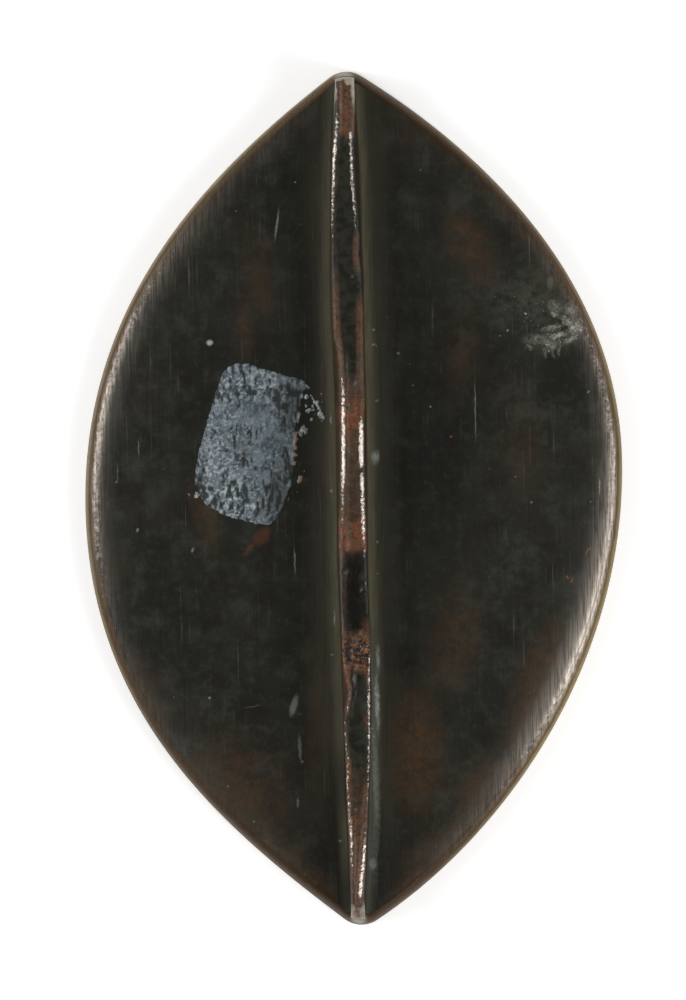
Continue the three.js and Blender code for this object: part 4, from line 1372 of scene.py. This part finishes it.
def braze_material():
    """Olive, lightest a little above the back partly by painted light, painted lighter beside the rib
    against its shadow, with painted shade where it meets the rib and painted highlights and a greyer painted
    reflection down the lower right fillet, fading into the plate's colour at its edge.
    """
    p = Paint("brazing")
    across = p.attribute("across")
    mottle = p.noise(0.8, 5, 0.65, stretch=(1.0, 0.35))
    streak = p.noise(1.0, 4, 0.6, stretch=(5.0, 0.2))
    # Painted reflection: the lower right fillet greyer.
    tone = p.mix(p.attribute("low"), (78, 74, 55), (70, 71, 63))
    tone = p.mix(p.times(p.remap(mottle, 0.4, 0.65), 0.4), tone, (54, 51, 37))
    # Painted light: lighter beside the rib against its shadow, and the olive tone laid up the slope, partly
    # its own colour and partly painted light.
    share = p.times(p.attribute("light"), p.remap(across, 0.1, 0.9))
    p.base = p.mix(p.attribute("near"), (30, 29, 22), (60, 58, 46))
    p.lay(tone, share, 0.85)
    p.lay((90, 86, 68), p.remap(streak, 0.5, 0.68), share, 0.4)
    p.lay((30, 28, 20), p.remap(streak, 0.46, 0.34), 0.35)
    # Painted shade where the fillet meets the rib's wall.
    p.lay((24, 21, 14), p.remap(across, 0.88, 1.0), 0.7)
    # Painted highlights: the marks' long streaks down the lower right fillet, broken up by this noise rather
    # than by wear.
    worn = p.patches(2.5, 5, 0.75, 0.36, 0.56, 0.4, 1.0)
    p.lay((146, 150, 145), p.marks(BRAZE_MARKS, ragged=0.2, outer=1.5, inner=0.1), worn, 0.85)
    relief = p.bump("brazing", p.noise(3.0, 4, 0.6, stretch=(1.0, 0.4)))
    roughness = p.plus(0.62, p.times(mottle, 0.12))
    return p.sets(Base_Color=p.base, Roughness=roughness, Normal=relief, Specular_IOR_Level=0.12)


def label_material():
    """Blue-grey paper dirt: dark in its pits, pale on its granules, and darker to the right."""
    p = Paint("label_paper")
    fine = p.noise(3.0, 5, 0.7)
    rough_share = p.plus(1.0, p.times(p.attribute("smooth"), -0.85))
    p.base = p.mix(p.patches(0.8, 4, 0.6, 0.38, 0.6), (64, 75, 83), (102, 114, 122))
    p.lay((54, 62, 65), p.patches(1.5, 4, 0.7, 0.46, 0.6), 0.6)
    p.lay((162, 171, 173), p.remap(fine, 0.48, 0.64), rough_share, 0.8)
    p.lay((46, 50, 46), p.attribute("thin"), 0.75)
    p.lay((190, 197, 197), p.attribute("grain"), 0.85)
    p.lay((34, 37, 32), p.attribute("pit"), 0.9)
    p.lay((88, 76, 66), p.patches(1.1, 4, 0.7, 0.6, 0.72), 0.45)
    p.lay((134, 108, 84), p.attribute("rust"), p.remap(fine, 0.4, 0.55, 0.5, 0.9))
    relief = p.bump("paper", fine)
    return p.sets(Base_Color=p.base, Roughness=0.8, Normal=relief, Specular_IOR_Level=0.3)


# Stage, light and camera, in metres
FLOOR_REACH = 7.0
FLOOR_DROP = 0.02 * MM
# Soft lamps: azimuth, angle from the zenith, distance, width, height and radiance. Azimuth 0 is towards
# +X, and 90 towards +Y.
SOFTBOXES = {
    "softbox_left": (180, 55, 0.6, 0.28, 0.45, 4.0),
    "softbox_right": (-30, 55, 0.6, 0.28, 0.45, 4.8),
}
SKY = {"horizon": 1.0, "zenith": 0.16}
CAMERA_PLACE = (-0.94 * MM, -0.13 * MM, 1.5)
FRAME_HEIGHT = 85.106 * MM
SENSOR_HEIGHT = 36.0
CLIP = (0.05, 50.0)


def floor():
    signs = ((-1, -1), (1, -1), (1, 1), (-1, 1))
    corners = [(x * FLOOR_REACH, y * FLOOR_REACH, -FLOOR_DROP) for x, y in signs]
    stage = mesh_object("floor", (corners, [(0, 1, 2, 3)]))
    p = Paint("floor_white")
    seen = p.node("ShaderNodeLightPath", {}).outputs
    shown = p.most(seen["Is Camera Ray"], seen["Is Glossy Ray"], seen["Is Transmission Ray"])
    p.sets(Base_Color=p.mix(p.noise(0.8, 2), (0.9, 0.9, 0.9, 1), (0.91, 0.91, 0.91, 1)), Roughness=0.9)
    p.sets(Emission_Color=(1, 1, 1, 1), Emission_Strength=p.times(shown, 0.4), Specular_IOR_Level=0.0)
    stage.data.materials.append(p.material)


def sky():
    """Plain light from all round: white at the horizon and greyer overhead."""
    world = bpy.data.worlds.new("studio")
    bpy.context.scene.world = world
    world.use_nodes = True
    tree = world.node_tree
    place = tree.nodes.new("ShaderNodeTexCoord")
    split = tree.nodes.new("ShaderNodeSeparateXYZ")
    grade = tree.nodes.new("ShaderNodeMapRange")
    grade.inputs[3].default_value = SKY["horizon"]
    grade.inputs[4].default_value = SKY["zenith"]
    tree.links.new(place.outputs["Generated"], split.inputs[0])
    tree.links.new(split.outputs[2], grade.inputs[0])
    tree.links.new(grade.outputs[0], tree.nodes["Background"].inputs[0])


def softbox(name, azimuth, from_zenith, distance, width, height, radiance):
    """A soft lamp aimed at the matrix."""
    a, t = math.radians(azimuth), math.radians(from_zenith)
    lamp = bpy.data.lights.new(name, "AREA")
    lamp.shape = "RECTANGLE"
    lamp.size = width
    lamp.size_y = height
    lamp.energy = radiance * math.pi * width * height
    box = linked(name, lamp)
    towards = (math.sin(t) * math.cos(a), math.sin(t) * math.sin(a), math.cos(t))
    box.location = [distance * share for share in towards]
    box.rotation_mode = "QUATERNION"
    box.rotation_quaternion = box.location.to_track_quat("Z", "Y")


def camera():
    """Straight down on the back, from so far off that the flanks show alike."""
    lens = bpy.data.cameras.new("camera")
    lens.sensor_fit = "VERTICAL"
    lens.sensor_height = SENSOR_HEIGHT
    lens.lens = SENSOR_HEIGHT * CAMERA_PLACE[2] / FRAME_HEIGHT
    lens.clip_start, lens.clip_end = CLIP
    view = linked("camera", lens)
    view.location = CAMERA_PLACE
    view.rotation_euler = (0, 0, math.radians(-PHOTO_TILT))
    bpy.context.scene.camera = view


matrix_plate(plate_material())
spine_rib(rib_material())
brazing = braze_material()
for side in OUT:
    braze_fillet(side, brazing)
label_residue(label_material())
floor()
sky()
for name, box in SOFTBOXES.items():
    softbox(name, *box)
camera()
bpy.context.scene.view_settings.view_transform = "Standard"
